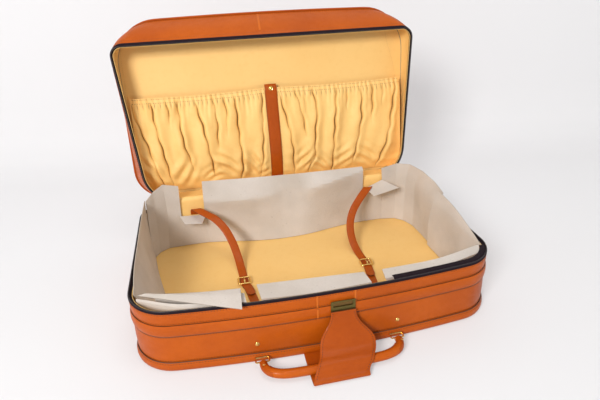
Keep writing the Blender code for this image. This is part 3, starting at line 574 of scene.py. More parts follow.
# ---- outlines ----
def outline(half, reach, back_radius, front_radius):
    """Rounded outline from the middle of the back, round by +x: x, distance from the back, and normals."""
    spots = []

    def straight(start, stop, normal, count):
        for t in [i / count for i in range(count)]:
            spots.append((start[0] + (stop[0] - start[0]) * t, start[1] + (stop[1] - start[1]) * t, *normal))

    def bend(cx, cy, radius, start):
        for i in range(corner_steps):
            angle = math.radians(start + 90 * i / corner_steps)
            c, s = math.cos(angle), math.sin(angle)
            spots.append((cx + radius * c, cy + radius * s, c, s))

    rb, rf = back_radius, front_radius
    straight((0, 0), (half - rb, 0), (0, -1), back_steps)
    bend(half - rb, rb, rb, -90)
    straight((half, rb), (half, reach - rf), (1, 0), side_steps)
    bend(half - rf, reach - rf, rf, 0)
    straight((half - rf, reach), (rf - half, reach), (0, 1), front_steps)
    bend(rf - half, reach - rf, rf, 90)
    straight((-half, reach - rf), (-half, rb), (-1, 0), side_steps)
    bend(rb - half, rb, rb, 180)
    straight((rb - half, 0), (0, 0), (0, -1), back_steps)
    return np.array(spots)


def bowed_out(spots, bow, half, reach):
    """Push the front of an outline outward in a shallow curve, fading along the sides."""
    weight = np.clip((spots[:, 1] - reach / 2) / (reach / 2 - corner), 0, 1)
    spots[:, 1] += bow * (1 - (spots[:, 0] / half) ** 2) * weight
    return spots


def front_y(x):
    """Place of the bowed front wall at a distance from the middle."""
    return case_back_y - case_reach - front_bow * (1 - (x / case_half) ** 2)


def base_ring(outset, z):
    """Points round the base at a height, outset from its outer face."""
    spots = outline(case_half + outset, case_reach + 2 * outset, corner + outset, corner + outset)
    spots[:, 1] -= outset
    spots = bowed_out(spots, front_bow, case_half, case_reach)
    return np.column_stack([spots[:, 0], case_back_y - spots[:, 1], np.full(len(spots), z)])


def base_normals():
    """Outward normals round the base."""
    spots = outline(case_half, case_reach, corner, corner)
    return np.column_stack([spots[:, 2], -spots[:, 3], np.zeros(len(spots))])


def lid_place(x, v, w):
    """World place of a point of the raised lid: v from the hinge, w from the rim's plane."""
    x, v, w = np.broadcast_arrays(np.asarray(x, float), v, w)
    y = case_back_y - v * math.cos(open_turn) + w * math.sin(open_turn)
    z = hinge_z + v * math.sin(open_turn) + w * math.cos(open_turn)
    return np.stack([x, y, z], axis=-1)


lid_out = lid_place(0, 0, 1) - lid_place(0, 0, 0)


def lid_local(t, inset):
    """Outline of the lid's wall from rim, at 0, to panel, at 1: x, v and normals."""
    back, front = lid_rim_corners
    rim = outline(lid_rim_half - inset, lid_rim_reach - 2 * inset, back - inset, front - inset)
    rim[:, 1] += inset
    rim[:, 0] *= 1 - lid_rim_taper * (1 - rim[:, 1] / lid_rim_reach)
    back, front = lid_panel_corners
    panel = outline(lid_panel_half - inset, lid_panel_reach - 2 * inset, back - inset, front - inset)
    panel[:, 1] += inset
    panel = bowed_out(panel, lid_panel_bow, lid_panel_half, lid_panel_reach)
    spots = rim + (panel - rim) * t
    swell = lid_wall_swell * math.sin(math.pi * t) * np.clip(spots[:, 1] / 0.3, 0, 1)
    spots[:, 0] += spots[:, 2] * swell
    spots[:, 1] += spots[:, 3] * swell
    return spots


def lid_ring(t, inset, w=None):
    """World points round the lid's wall."""
    spots = lid_local(t, inset)
    lean = lid_rim_lean * (1 - t) * spots[:, 1] / lid_rim_reach
    return lid_place(spots[:, 0], spots[:, 1], lean + (lid_depth * t if w is None else w))


def lid_normals(t):
    """World outward normals round the lid's wall."""
    spots = lid_local(t, 0.0)
    return lid_place(spots[:, 2], spots[:, 3], 0.0) - lid_place(0.0, 0.0, 0.0)


# ---- base ----
def base_shell():
    """Leather bands, welt, seams and their stitching round the base, and dark cords that paint the shadow in
    two grooves.
    """
    # Each band: its name, CAD node, the faces with edge paint, and its section of (outset, height) in mm
    bands = (
        ("leather_lower_wall", "base_lower_wall", (), [(0, 15), (0.8, 25), (1.2, 45), (0.6, 65), (0, 72.8)]),
        ("leather_ridge_band", "base_ridge_band", (0, 7),
         [(-0.4, 73), (1.6, 73.2), (2.4, 74.8), (3, 79), (3.3, 83.8), (3, 88.6), (2.4, 92.7), (1.6, 94.2),
          (-0.4, 94.4)]),
        ("leather_upper_band", "base_upper_band", (3,),
         [(0, 94.6), (0.8, 100), (1, 109), (1, 118.4), (0.2, 119.2)]),
        ("leather_foot_welt", "base_welt", (0,),
         [(0.4, 17), (2.2, 17.2), (3.6, 15), (4.6, 11), (4.8, 6.5), (4, 2.5), (2, 0.6), (-10, 0.4), (-10, 2),
          (-2, 2.6)]),
    )
    for name, node, painted, outer in bands:
        inner = [(-1000 * leather_thick, outer[k][1]) for k in (-1, 0)]
        section = mm(outer + [spot for spot in inner if spot != outer[-1]])
        rings = [base_ring(outset, z) for outset, z in section]
        which = [1 if k in painted else 0 for k in range(len(section))]
        piece = swept(name, rings[::-1], [tan, edge_paint], which[-2::-1] + which[-1:], True, 50)
        fit(piece, "base", "leather", node)
    normals = base_normals()
    for label, outset, z in (("foot", 0.0009, 0.0205), ("ridge_low", 0.0006, 0.0702),
                             ("ridge_high", 0.0009, 0.0972), ("rim", 0.0011, 0.1158)):
        stitches("stitch_base_" + label, base_ring(outset, z), normals, "base", dark_thread, closed=True)
    # Dark edge-paint cords paint the shadow in the groove under the ridge band and in the groove above the
    # welt.
    for label, outset, z in (("low", 0.0006, 0.0723), ("foot", 0.0018, 0.0178)):
        cord = tube("painted_shadow_cord_" + label, base_ring(outset, z), 0.0009, edge_paint, True, 8)
        fit(cord, "base", "leather")
    tilted = normals + (0, 0, 0.6)
    stitches("stitch_welt", base_ring(0.0036, 0.0150), tilted, "base", dark_thread, closed=True)
    # Each joint of the bands, in mm: x, its two heights and its outset
    seams = mm([(-20.5, 94.6, 118.2, 1.3), (46, 94.6, 118.2, 1.3), (-20.5, 74.5, 93.2, 3.4)])
    for number, (x, low, high, outset) in enumerate(seams):
        y = front_y(x) - outset
        row = [(x - 0.0015, y + 0.0004), (x - 0.0005, y), (x + 0.0005, y), (x + 0.0015, y + 0.0004)]
        grid = [[(*spot, z) for spot in row] for z in np.linspace(low, high, 7)]
        fit(slab(f"band_joint_{number}", grid, seam_thick, seam_hide), "base", "leather")
    rivet = [(4, 0), (4, 0.5), (3.3, 1.3), (2, 1.9), (0.6, 2.1)]
    for x, label in ((-0.126, "left"), (0.126, "right")):
        piece = turned("stud_" + label, rivet, (x, front_y(x) - 0.0011, 0.037), (0, -1, 0), brass)
        fit(piece, "base", "brass", "front_stud_" + label)


def filled_sheet(name, ring, thickness, materials, shape=None, flip=False):
    """Closed sheet that fills an outline with rows in to its middle; shape may lift its points."""
    middle = ring.mean(axis=0)
    middle[0] = 0
    shares = (1.0, 0.985, 0.96, 0.92, 0.86, 0.78, 0.68, 0.57, 0.45, 0.33, 0.21, 0.10, 0.03, 0.0006)
    grid = np.array([middle + (ring - middle) * s for s in shares])
    if shape:
        grid = shape(grid)
    uv = [[(p[0], p[1] + p[2]) for p in np.vstack([row, row[:1]])] for row in grid]
    return slab(name, grid, thickness, materials, wrap=True, flip=flip, uv=uv)


def ripple(grid, size, seed, axis):
    """Gentle unevenness of a glued sheet, fading at its edge."""
    maker = random.Random(seed)
    waves = [(maker.uniform(8, 26), maker.uniform(8, 26), maker.uniform(0, 6.3)) for _ in range(6)]
    for r, row in enumerate(grid):
        for p in row:
            total = sum(math.sin(a * p[0] + b * (p[1] + p[2]) + c) for a, b, c in waves) / 6
            p += np.array(axis) * size * total * min(1.0, r / 3.0)
    return grid


def base_inside():
    """Underside, lining, zip tape and coil of the base."""
    under = filled_sheet("leather_underside", base_ring(-0.0100, 0.0013), leather_thick, [tan] * 3)
    fit(under, "base", "leather", "base_bottom_panel")
    floor = filled_sheet("lining_floor", base_ring(-lining_inset - 0.0004, floor_z), 0.0010, lined,
                         lambda g: ripple(g, 0.0008, 3, (0, 0, 1)))
    fit(floor, "base", "lining", "base_lining_floor")
    grid = [base_ring(0.0004 - lining_inset, z) for z in (0.0085, 0.030, 0.060, 0.090, 0.112, 0.1195)]
    wall = slab("lining_wall_base", grid, cloth_thick, lined, wrap=True)
    fit(wall, "base", "lining", "base_lining_wall")
    zip_half("base", base_ring, rim_z, -1, (0, 0, 1), 4.0)


def open_run(points):
    """Order of outline points that leaves out the back between the zip's two ends."""
    start = next(i for i, p in enumerate(points) if p[0] > zip_end_x)
    back = next(i for i, p in enumerate(points[:0:-1]) if p[0] < -zip_end_x)
    return list(range(start, len(points) - back))


def zip_half(body, ring, rim, direction, up, drop):
    """Woven tape standing at a rim, hanging down inside by a drop in mm, and its coil with its teeth."""
    run = open_run(ring(0.0, rim))
    section = mm([(-6.2, -6), (-6, -2.8), (-1.6, -2.2), (-0.6, 0), (0.8, 0.2), (1.6, -1.2), (1.3, -drop),
                  (0.4, -drop - 1), (-2, -drop - 1)])
    rings = [ring(outset, rim - direction * rise)[run] for outset, rise in section]
    piece = swept(body + "_zip_cloth", rings[::-direction], [tape], None, False, 60)
    fit(piece, body, "zip_tape", body + "_zip_tape")
    if body == "base":
        zip_sag()
    line = ring(-0.0004, rim - direction * 0.0006)[run]
    rope = tube(body + "_zip_coil", line, 0.0011, coil, False, 8)
    fit(rope, body, "zip_chain", body + "_zip_chain")
    stitches(body + "_zip_teeth", line + np.array(up) * 0.0010, up, body, coil, 0.0024, 0.0034, 0.0013,
             cross=True)


def zip_sag():
    """Tape that stands slightly inward at the front right of the base."""
    start_x, taper_run, side_y = 0.104, 0.008, -0.165
    sag = [i for i, p in enumerate(base_ring(0.0, rim_z)) if p[1] < side_y and p[0] > start_x]
    edge = base_ring(-0.0010, rim_z - 0.0004)[sag]
    taper = np.clip((edge[:, :1] - start_x) / taper_run, 0.15, 1)
    rows = [edge] + [edge + (base_ring(-inward, rim_z + rise)[sag] - edge) * taper
                     for inward, rise in mm([(5, 1.6), (9.5, 2.2), (13.5, 1.4)])]
    fit(slab("base_zip_cloth_sag", rows, 0.0010, [tape] * 3), "base", "zip_tape")


# ---- lid ----
def domed(grid):
    """Slight dome and unevenness of the lid's outer panel."""
    for r, row in enumerate(grid):
        row += lid_out * 0.0016 * min(1.0, r / 5.0)
    return ripple(grid, 0.0007, 11, tuple(lid_out))


def lid_shell():
    """Soft leather wall, outer panel with piping, seams and boards of the lid."""
    grid = [lid_ring(t, leather_thick / 2) for t in np.linspace(0.050, 0.97, 10)]
    fit(slab("lid_leather_wall", grid, leather_thick, hide, wrap=True), "lid", "leather", "lid_wall")
    edge = lid_ring(1.0, 0.0010, lid_depth + 0.0006)
    panel = filled_sheet("lid_leather_panel", edge, leather_thick, hide, domed, flip=True)
    fit(panel, "lid", "leather", "lid_outer_panel")
    piping = tube("lid_piping", lid_ring(1.0, -0.0008, lid_depth - 0.0012), 0.0026, tan_fine, True, 10)
    fit(piping, "lid", "leather", "lid_welt")
    for label, row, normals in (("piping", lid_ring(0.93, -0.0001), lid_normals(0.93)),
                                ("rim", lid_ring(0.16, -0.0002), lid_normals(0.16)),
                                ("panel", lid_ring(1.0, 0.0105, lid_depth + 0.0022), lid_out)):
        stitches("stitch_lid_" + label, row, normals, "lid", dark_thread, closed=True)
    seam_x, free_z = -0.009, 0.3
    picked = []
    for row in [lid_ring(t, -0.0010) for t in np.linspace(0.20, 0.90, 9)]:
        spot = row[int(np.argmin(np.abs(row[:, 0] - seam_x) + (row[:, 2] < free_z) * 10))]
        picked.append([spot + (dx, 0, 0) for dx in (-0.0022, -0.0008, 0.0008, 0.0022)])
    fit(slab("lid_band_joint_0", picked, seam_thick, seam_hide), "lid", "leather")
    stiff = [lid_ring(t, 0.0042) for t in np.linspace(0.10, 0.90, 8)]
    fit(slab("lid_stiff_wall", stiff, board_thick, boarded, wrap=True), "lid", "board", "lid_wall_board")
    edge = lid_ring(1.0, 0.0050, lid_depth - 0.0022)
    piece = filled_sheet("lid_stiff_panel", edge, 0.0024, boarded, flip=True)
    fit(piece, "lid", "board", "lid_board")


def lid_lining():
    """Lining wall and panel of the lid, the panel's pale stitching, and the lid's half of the zip."""
    grid = [lid_ring(t, lining_inset - 0.0016) for t in (0.03, *np.linspace(0.10, 0.86, 9))]
    cloth = slab("lining_wall_lid", grid, cloth_thick, lined, wrap=True)
    fit(cloth, "lid", "lining", "lid_lining_wall")
    back = filled_sheet("lining_panel_lid", lid_ring(0.88, 0.0040, lining_w), cloth_thick, lined,
                        lambda g: ripple(g, 0.0012, 5, tuple(lid_out)))
    fit(back, "lid", "lining", "lid_lining_panel")
    for label, line in (("left", [(-318, 385, 0), (-330, 335, 0), (-331, 240, 0)]),
                        ("right", [(292, 378, 0), (300, 330, 0), (318, 262, 0), (322, 180, 0)])):
        spots = smooth_line(mm(line), 40)
        row = lid_place(spots[:, 0], spots[:, 1], lining_w - 0.0008)
        stitches("stitch_lining_" + label, row, -lid_out, "lid", pale_thread, pitch=0.0050, width=0.0006)
    zip_half("lid", lambda o, w: lid_ring(max(w, 0.0) / lid_depth, -o, w), 0.0006, 1, -lid_out, 4.2)


# ---- pockets ----
# Each crease of the cloth, in mm: side reach of its ridge, depth, and its line of (x, v) from hem to foot
creases = (
    (11, 6.5, ((-280, 222), (-276, 164), (-265, 95), (-256, 27))),
    (9, 6, ((-221, 224), (-220, 150), (-214, 110), (-203, 70))),
    (12, 7, ((-181, 224), (-169, 166), (-160, 100), (-154, 55))),
    (9, 4.5, ((-138, 224), (-134, 170), (-138, 120))),
    (11, 7, ((-87, 224), (-85, 121), (-83, 63), (-90, 22))),
    (8, 5, ((-22, 224), (-28, 120), (-34, 60), (-44, 22))),
    (8, 4.5, ((-325, 215), (-300, 125), (-286, 60), (-276, 25))),
    (7, 3.5, ((-245, 224), (-243, 190))),
    (7, 3.5, ((-112, 224), (-110, 185), (-114, 150))),
    (10, 5, ((20, 222), (36, 150), (44, 90), (45, 22))),
    (8, 4, ((60, 224), (74, 170), (78, 130))),
    (11, 6.5, ((103, 226), (111, 176), (101, 110), (98, 60), (80, 28))),
    (10, 6.5, ((162, 222), (153, 140), (148, 80), (143, 18))),
    (11, 6, ((226, 224), (224, 150), (212, 90), (199, 50))),
    (7, 4, ((256, 226), (254, 180), (250, 150))),
    (10, 6, ((316, 220), (298, 120), (280, 60), (262, 18))),
    (7, 3, ((190, 224), (188, 188))),
    (7, 3, ((284, 224), (280, 190))),
)
# Bunched folds near the foot: x, v, size and depth in mm, and direction
puckers = (
    (-128, 66, 24, 5, 0.5), (-156, 40, 18, 4, -0.4), (-62, 56, 26, 4.5, 0.9), (72, 56, 20, 5, 2.4),
    (112, 36, 18, 4, 0.7), (-228, 50, 28, 4.5, 2.2), (172, 50, 22, 4, 2.6), (230, 46, 24, 4.5, 0.6),
    (-30, 32, 18, 3.5, 2.7), (-296, 80, 24, 3, 0.9),
)
# How far the cloth stands off the lining, in metres, at shares of its height
belly = ((0.0, 0.10, 0.28, 0.50, 0.75, 0.92, 1.0), (0.0030, 0.0150, 0.0215, 0.0215, 0.0180, 0.0150, 0.0140))
pocket_hem_v = 0.240
pocket_foot_v = 0.012
pocket_gap = 0.0150
pocket_half = 0.326
pocket_corner = 0.060
hem_dip = 0.0040
pocket_strap_half = 0.0142


def pocket_edge(v):
    """Half width of the two pockets at a distance from the hinge."""
    drop = np.clip(pocket_corner - v, 0, None)
    return pocket_half - pocket_corner + np.sqrt(np.clip(pocket_corner**2 - drop**2, 0, None))


def pocket_x(side, across, v):
    """Sideways place in a pocket at a share of its width."""
    return side * (pocket_gap + (pocket_edge(v) - pocket_gap) * across)


def pocket_lift(x, v, side):
    """How far the cloth stands off the lining at a place, and how much painted shade darkens its folds there.
    """
    share = (v - pocket_foot_v) / (pocket_hem_v - pocket_foot_v)
    across = np.clip((np.abs(x) - pocket_gap) / (pocket_edge(v) - pocket_gap), 0, 1)
    calm = np.clip(np.minimum(across, 1 - across) / 0.05, 0.15, 1) ** 0.5
    total = np.zeros_like(x)
    painted_crease_shade = np.zeros_like(x)
    for reach, depth, line in creases:
        if line[0][0] * side < 0:
            continue
        reach, depth = reach / 1000, depth / 1000
        xs, vs = mm(line[::-1]).T
        off = x - np.interp(v, vs, xs) - 0.0012 * np.sin(v * 140 + xs[0] * 60)
        fade = np.clip((v - vs[0] + 0.018) / 0.03, 0, 1) * np.clip((vs[-1] + 0.012 - v) / 0.02, 0.0, 1)
        strength = 0.55 + 0.45 * np.sin(v * 55 + xs[0] * 90)
        valley = -np.exp(-np.abs(off / 0.0021) ** 1.2) * (0.45 + strength)
        # Painted shade along the bottom of each crease.
        painted_crease_shade += fade * np.exp(-(off / 0.0013) ** 2) * (0.35 + 0.85 * strength) * min(1.0, depth / 0.0055)
        near_ridge = np.exp(-((off - 0.006) / reach) ** 2) * (off > 0)
        far_ridge = 0.75 * np.exp(-((off + 0.010) / (reach * 1.3)) ** 2) * (off <= 0)
        ridge = near_ridge + far_ridge
        total += fade * depth * (0.95 * ridge * (0.7 + 0.3 * strength) + 1.15 * valley)
    for *spot, lean in puckers:
        px, pv, size, depth = mm(spot)
        if px * side < 0:
            continue
        dx, dv = x - px, v - pv
        run = dx * math.sin(lean) + dv * math.cos(lean) + 6.0 * dx * dx
        fade = np.exp(-(np.hypot(dx, dv * 0.8) / size) ** 2)
        total += depth * fade * np.sin(run * math.tau / (size * 0.95))
    hem = np.exp(-np.clip(pocket_hem_v - 0.012 - v, 0, None) / 0.024)
    pleat = np.sin(x * 560 + 2.6 * np.sin(x * 33) + 1.2 * np.sin(x * 19 + v * 30))
    total += hem * 0.0013 * pleat * (0.65 + 0.45 * np.sin(x * 83 + 1.0))
    # Painted shade in the pleat valleys just below the hem.
    notch = np.exp(-((v - pocket_hem_v + 0.0185) / 0.0060) ** 2)
    painted_crease_shade += 0.8 * notch * np.clip(-pleat - 0.72, 0, 1) / 0.28
    soft = 0.0022 * np.sin(x * 62 + v * 21 + 1.0) + 0.0016 * np.sin(x * 118 - v * 30)
    soft += 0.0012 * np.sin(x * 30 + v * 55)
    total += soft * np.clip(share * 6, 0, 1) * np.clip((1 - share) * 4, 0.1, 1)
    low = np.clip(1 - share / 0.25, 0, 1)
    total += low * 0.0020 * np.sin(v * 210 + x * 45 + 1.5 * np.sin(x * 50)) * np.clip(share * 12, 0, 1)
    return np.interp(share, *belly) + total * calm * np.clip(share * 8, 0, 1), np.clip(painted_crease_shade, 0, 1)


def pockets():
    """Two gathered pockets with a double-stitched hem."""
    columns, levels = ((260, 64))
    across = np.linspace(0, 1, columns)
    top_w = lining_w - 0.0010
    for side, label in ((-1, "left"), (1, "right")):
        v, share = np.meshgrid(np.linspace(pocket_foot_v, pocket_hem_v, levels), across, indexing="ij")
        x = pocket_x(side, share, v)
        dip = hem_dip * np.sin(math.pi * share) * (v / pocket_hem_v) ** 3
        lift, painted_crease_shade = pocket_lift(x, v, side)
        piece = slab("pocket_cloth_" + label, lid_place(x, v - dip, top_w - lift), cloth_thick,
                     [pocket_cloth] * 3, flip=side > 0, sharp=70, uv=np.stack([x, v], axis=-1))
        fit(piece, "lid", "pocket_cloth", "pocket_" + label)
        # Per-point painted shade for the fold bottoms, which the pocket cloth's material reads.
        marks = piece.data.attributes.new("fold_painted_shade", "FLOAT", "POINT")
        marks.data.foreach_set("value", np.tile(painted_crease_shade.ravel(), 2))
        for number, drop in enumerate((0.0030, 0.0115)):
            v = np.full(columns, pocket_hem_v - drop)
            x = pocket_x(side, across, v)
            dip = hem_dip * np.sin(math.pi * across)
            row = lid_place(x, v - dip, top_w - pocket_lift(x, v, side)[0] - cloth_thick)
            stitches(f"stitch_hem_{label}_{number}", row, -lid_out, "lid", hem_thread, 0.0056, 0.0038, 0.0013)


def pocket_strap():
    """Leather strap between the pockets, and its snap."""
    path = [(0.0, 0.006, lining_w - 0.0022), (0.0, 0.016, lining_w - 0.0060)]
    for share in np.linspace(0.08, 1.0, 12):
        v = pocket_foot_v + (pocket_hem_v - pocket_foot_v) * share
        path.append((0.0, v, lining_w - np.interp(share, *belly) - 0.0032))
    line = smooth_line(path + [(0.0, 0.2475, lining_w - 0.0105)], 44)
    world = lid_place(*line.T)
    stations = np.column_stack([world, np.full(len(world), pocket_strap_half)])
    strap, _ = ribbon("pocket_leather_strap", stations, 0.0019, fine_hide)
    fit(strap, "lid", "leather", "pocket_strap")
    for x, label in ((-0.0116, "left"), (0.0116, "right")):
        stitches("stitch_pocket_strap_" + label, world + (x, 0, 0) - lid_out * 0.0010, -lid_out, "lid",
                 dark_thread, 0.0046, 0.0032, 0.0007)
    snap = [(5.8, 0), (5.8, 0.8), (5, 1.6), (4, 1.2), (3.4, 1.8), (1, 2.6)]
    piece = turned("snap_button", snap, lid_place(0.0, 0.2385, lining_w - 0.0190), -lid_out, brass)
    fit(piece, "lid", "brass", "pocket_snap")


# ---- card liner ----
def folded_line(points, count):
    """Line with a corner at each point, with about count places on it."""
    given = np.array(points, float)
    per = max(2, round(count / (len(given) - 1)))
    spots = [a + (b - a) * k / per for a, b in zip(given, given[1:]) for k in range(per)]
    return np.array(spots + [given[-1]])


def card_sheet(name, node, columns, rows, lines, folds=""):
    """Card through lines of points in mm, from foot to top; folds names the way that stays creased."""
    across = folded_line if folds == "across" else smooth_line
    upward = folded_line if folds == "upward" else smooth_line
    lines = [across(mm(line), columns) for line in lines]
    grid = np.array([upward(points, rows) for points in zip(*lines)]).transpose(1, 0, 2)
    piece = slab(name, grid, card_thick, [card, card, card_edge], sharp=22)
    if node:
        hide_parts(node)
    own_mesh(piece)
    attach(piece, "base")


def card_liner():
    """Creased card sheets that stand inside the base, with folded-in tabs beside the strap windows."""
    card_sheet("card_sheet_back", "card_back", 54, 30, lines=[
        [(-189, 196.5, 8.5), (-145, 189, 8.5), (-90, 176, 8.5), (-35, 167.5, 8.5), (5, 166.5, 8.5),
         (45, 169, 8.5), (75, 174, 8.5), (112, 183, 8.5), (160, 193, 8.5), (204, 196.5, 8.5)],
        [(-190, 196.8, 45), (-145, 188, 45), (-90, 178, 45), (-35, 174.5, 45), (5, 175, 45),
         (45, 174, 45), (75, 178, 45), (112, 184, 45), (160, 192, 45), (204, 196.8, 45)],
        [(-190, 195, 92), (-145, 183, 92), (-90, 175.5, 92), (-35, 176.5, 92), (5, 181, 92),
         (45, 180, 92), (75, 177, 96), (112, 179, 100), (160, 187, 104), (204, 195.5, 106)],
        [(-189, 187, 123), (-145, 176, 123), (-90, 170.5, 123), (-35, 176, 122), (5, 186, 125),
         (45, 183, 124), (75, 173, 130), (112, 172, 139), (160, 180, 147), (203, 190.5, 152)],
        [(-189, 189.5, 130), (-145, 179.5, 130), (-90, 174.5, 130), (-35, 180, 131), (5, 187.5, 136),
         (45, 185, 133), (75, 177, 137), (112, 176.5, 144.5), (160, 184, 151), (203, 192.5, 155)],
        [(-188, 198.5, 169.5), (-145, 198, 168), (-90, 196.5, 166), (-35, 196, 164.5), (5, 195.8, 163.5),
         (45, 195.5, 162.5), (75, 195.8, 162), (112, 196.2, 161.2), (160, 197.2, 160.5),
         (202, 198, 160)],
    ])
    card_sheet("card_sheet_back_foot_left", None, 8, 6, lines=[
        [(-248, 197.5, 8.5), (-187, 197.2, 8.5)],
        [(-248, 196, 88), (-187, 195.8, 84)],
    ])
    card_sheet("card_sheet_back_foot_right", None, 8, 6, lines=[
        [(203, 197, 8.5), (258, 197.2, 8.5)],
        [(203, 196, 98.5), (258, 196.5, 106)],
    ])
    card_sheet("card_corner_left", "card_left", 24, 12, folds="across", lines=[
        [(-317, 155, 8.5), (-304, 180, 8.5), (-284, 194.5, 8.5), (-247, 196.6, 8.5)],
        [(-317.5, 160, 80), (-301, 182, 85), (-276, 195, 90), (-245, 196.2, 90)],
        [(-316, 170, 148), (-298, 182, 164), (-276, 190.5, 175.5), (-242, 192.5, 167)],
    ])
    card_sheet("card_sheet_left", "card_left", 34, 18, lines=[
        [(-316, 166, 8.5), (-306, 90, 8.5), (-291, 10, 8.5), (-276, -80, 8.5), (-262, -150, 9)],
        [(-318.5, 166, 70), (-314, 80, 65), (-306, 0, 62), (-298, -90, 60), (-285, -155, 60)],
        [(-319, 166, 118), (-321.2, 90, 118), (-321.2, 10, 118), (-321.2, -80, 118), (-319, -152, 117)],
        [(-318.5, 174.5, 148), (-322.2, 95.5, 140), (-323.7, 19, 134), (-324.3, -82.4, 128),
         (-320.5, -154, 122.5)],
    ])
    card_sheet("card_corner_right", "card_right", 48, 18, folds="across", lines=[
        [(257, 196.6, 8.5), (290, 190, 8.5), (308, 172, 8.5), (319.5, 140, 8.5), (321.5, 85, 8.5),
         (320.5, 30, 8.5)],
        [(256, 195.8, 65), (290, 190.5, 65), (309, 172.5, 65), (320.5, 140, 65), (320.5, 85, 65),
         (316.5, 30, 65)],
        [(254.5, 194.5, 120), (290, 191, 120), (310.5, 174, 120), (320.8, 142, 120), (321.2, 85, 120),
         (321, 25, 120)],
        [(252, 194.5, 151), (292, 193, 160), (317, 171, 162.5), (329, 125, 161), (334.5, 70, 154.5),
         (333, 25, 147)],
    ])
    card_sheet("card_sheet_right", "card_right", 34, 18, lines=[
        [(314, 42, 8.5), (315, -20, 8.5), (312, -60, 8.5), (298, -125, 8.5)],
        [(310.5, 38, 65), (318.5, -15, 65), (317, -60, 65), (309, -140, 65)],
        [(315.5, 34, 120), (320.3, -20, 120), (320.8, -75, 120), (316, -152, 118.5)],
        [(327.5, 36, 148), (328.5, -30, 141.5), (323.5, -110, 130), (315, -172, 123.5)],
    ])
    card_sheet("card_leaf_front_left", "card_front_left", 26, 20, folds="upward", lines=[
        [(-255, -180, 9), (-200, -196, 9), (-140, -204, 9)],
        [(-268, -180, 90), (-200, -198, 90), (-140, -206, 90)],
        [(-290, -163, 124), (-205, -184, 128), (-143, -192, 129)],
        [(-300, -162, 127), (-215, -193, 130), (-144, -210, 130)],
        [(-313.5, -160, 124), (-235, -204, 127.5), (-146, -244, 125.5)],
    ])
    card_sheet("card_wall_front_left", "card_front_left", 26, 10, lines=[
        [(-312, -170, 90), (-238, -207, 90), (-148, -215, 90)],
        [(-315, -169, 119), (-240, -208, 119), (-148, -216, 119)],
        [(-315.5, -166, 122.5), (-238, -205, 125), (-148, -214, 127)],
    ])
    card_sheet("card_leaf_under_left", None, 8, 6, lines=[
        [(-188, -192, 123.5), (-138, -199, 123.5)],
        [(-186, -215, 123.5), (-137, -224, 122.5)],
    ])
    card_sheet("card_leaf_front_middle", "card_front_middle", 26, 18, folds="upward", lines=[
        [(-103, -212, 9), (0, -216, 9), (87, -212, 9)],
        [(-108, -217, 90), (0, -222, 90), (84, -217.5, 90)],
        [(-112, -216.5, 119.5), (-30, -223.5, 119.5), (79, -219, 119.5)],
        [(-114, -174, 119), (-20, -181, 120), (75.5, -188, 120.5)],
    ])
    card_sheet("card_leaf_front_right", "card_front_right", 26, 18, folds="upward", lines=[
        [(124, -210, 9), (200, -198, 9), (262, -178, 9)],
        [(118, -214, 90), (205, -203, 90), (285, -180, 90)],
        [(106, -214, 119), (210, -206, 119), (305, -180, 119)],
        [(109, -190, 121.5), (215, -186, 123), (312, -163, 125)],
    ])
    card_sheet("card_tab_left", None, 8, 5, lines=[
        [(-249, 193.5, 89), (-188, 193.5, 85)],
        [(-238, 164, 81), (-199, 162, 78)],
    ])
    card_sheet("card_tab_right", None, 8, 5, lines=[
        [(211, 193, 102), (254, 193, 120)],
        [(216, 144, 101), (280, 145, 115)],
    ])


# ---- straps ----
floor_strap_z = 0.0082
strap_half = 0.0090
strap_thick = 0.0020
strap_tip = 0.010
bar_y = -0.0095
bar_z = 0.0124


def buckle_frame(label, x):
    """Rounded brass frame round the buckle's bars, tilted about its front bar."""
    half_x, half_y, bend, middle_y, tilt = 0.0092, 0.0074, 0.0033, 0.0012, 0.06
    path = []
    for side_x, side_y, begin in ((1, 1, 0), (-1, 1, 90), (-1, -1, 180), (1, -1, 270)):
        for angle in [math.radians(begin + 90 * step / 4) for step in range(5)]:
            y = middle_y + side_y * half_y + bend * math.sin(angle)
            path.append((x + side_x * half_x + bend * math.cos(angle), y, bar_z + tilt * (y - bar_y)))
    fit(tube("buckle_frame_" + label, path, 0.0018, brass, True, 10), "base", "brass", "buckle_" + label)


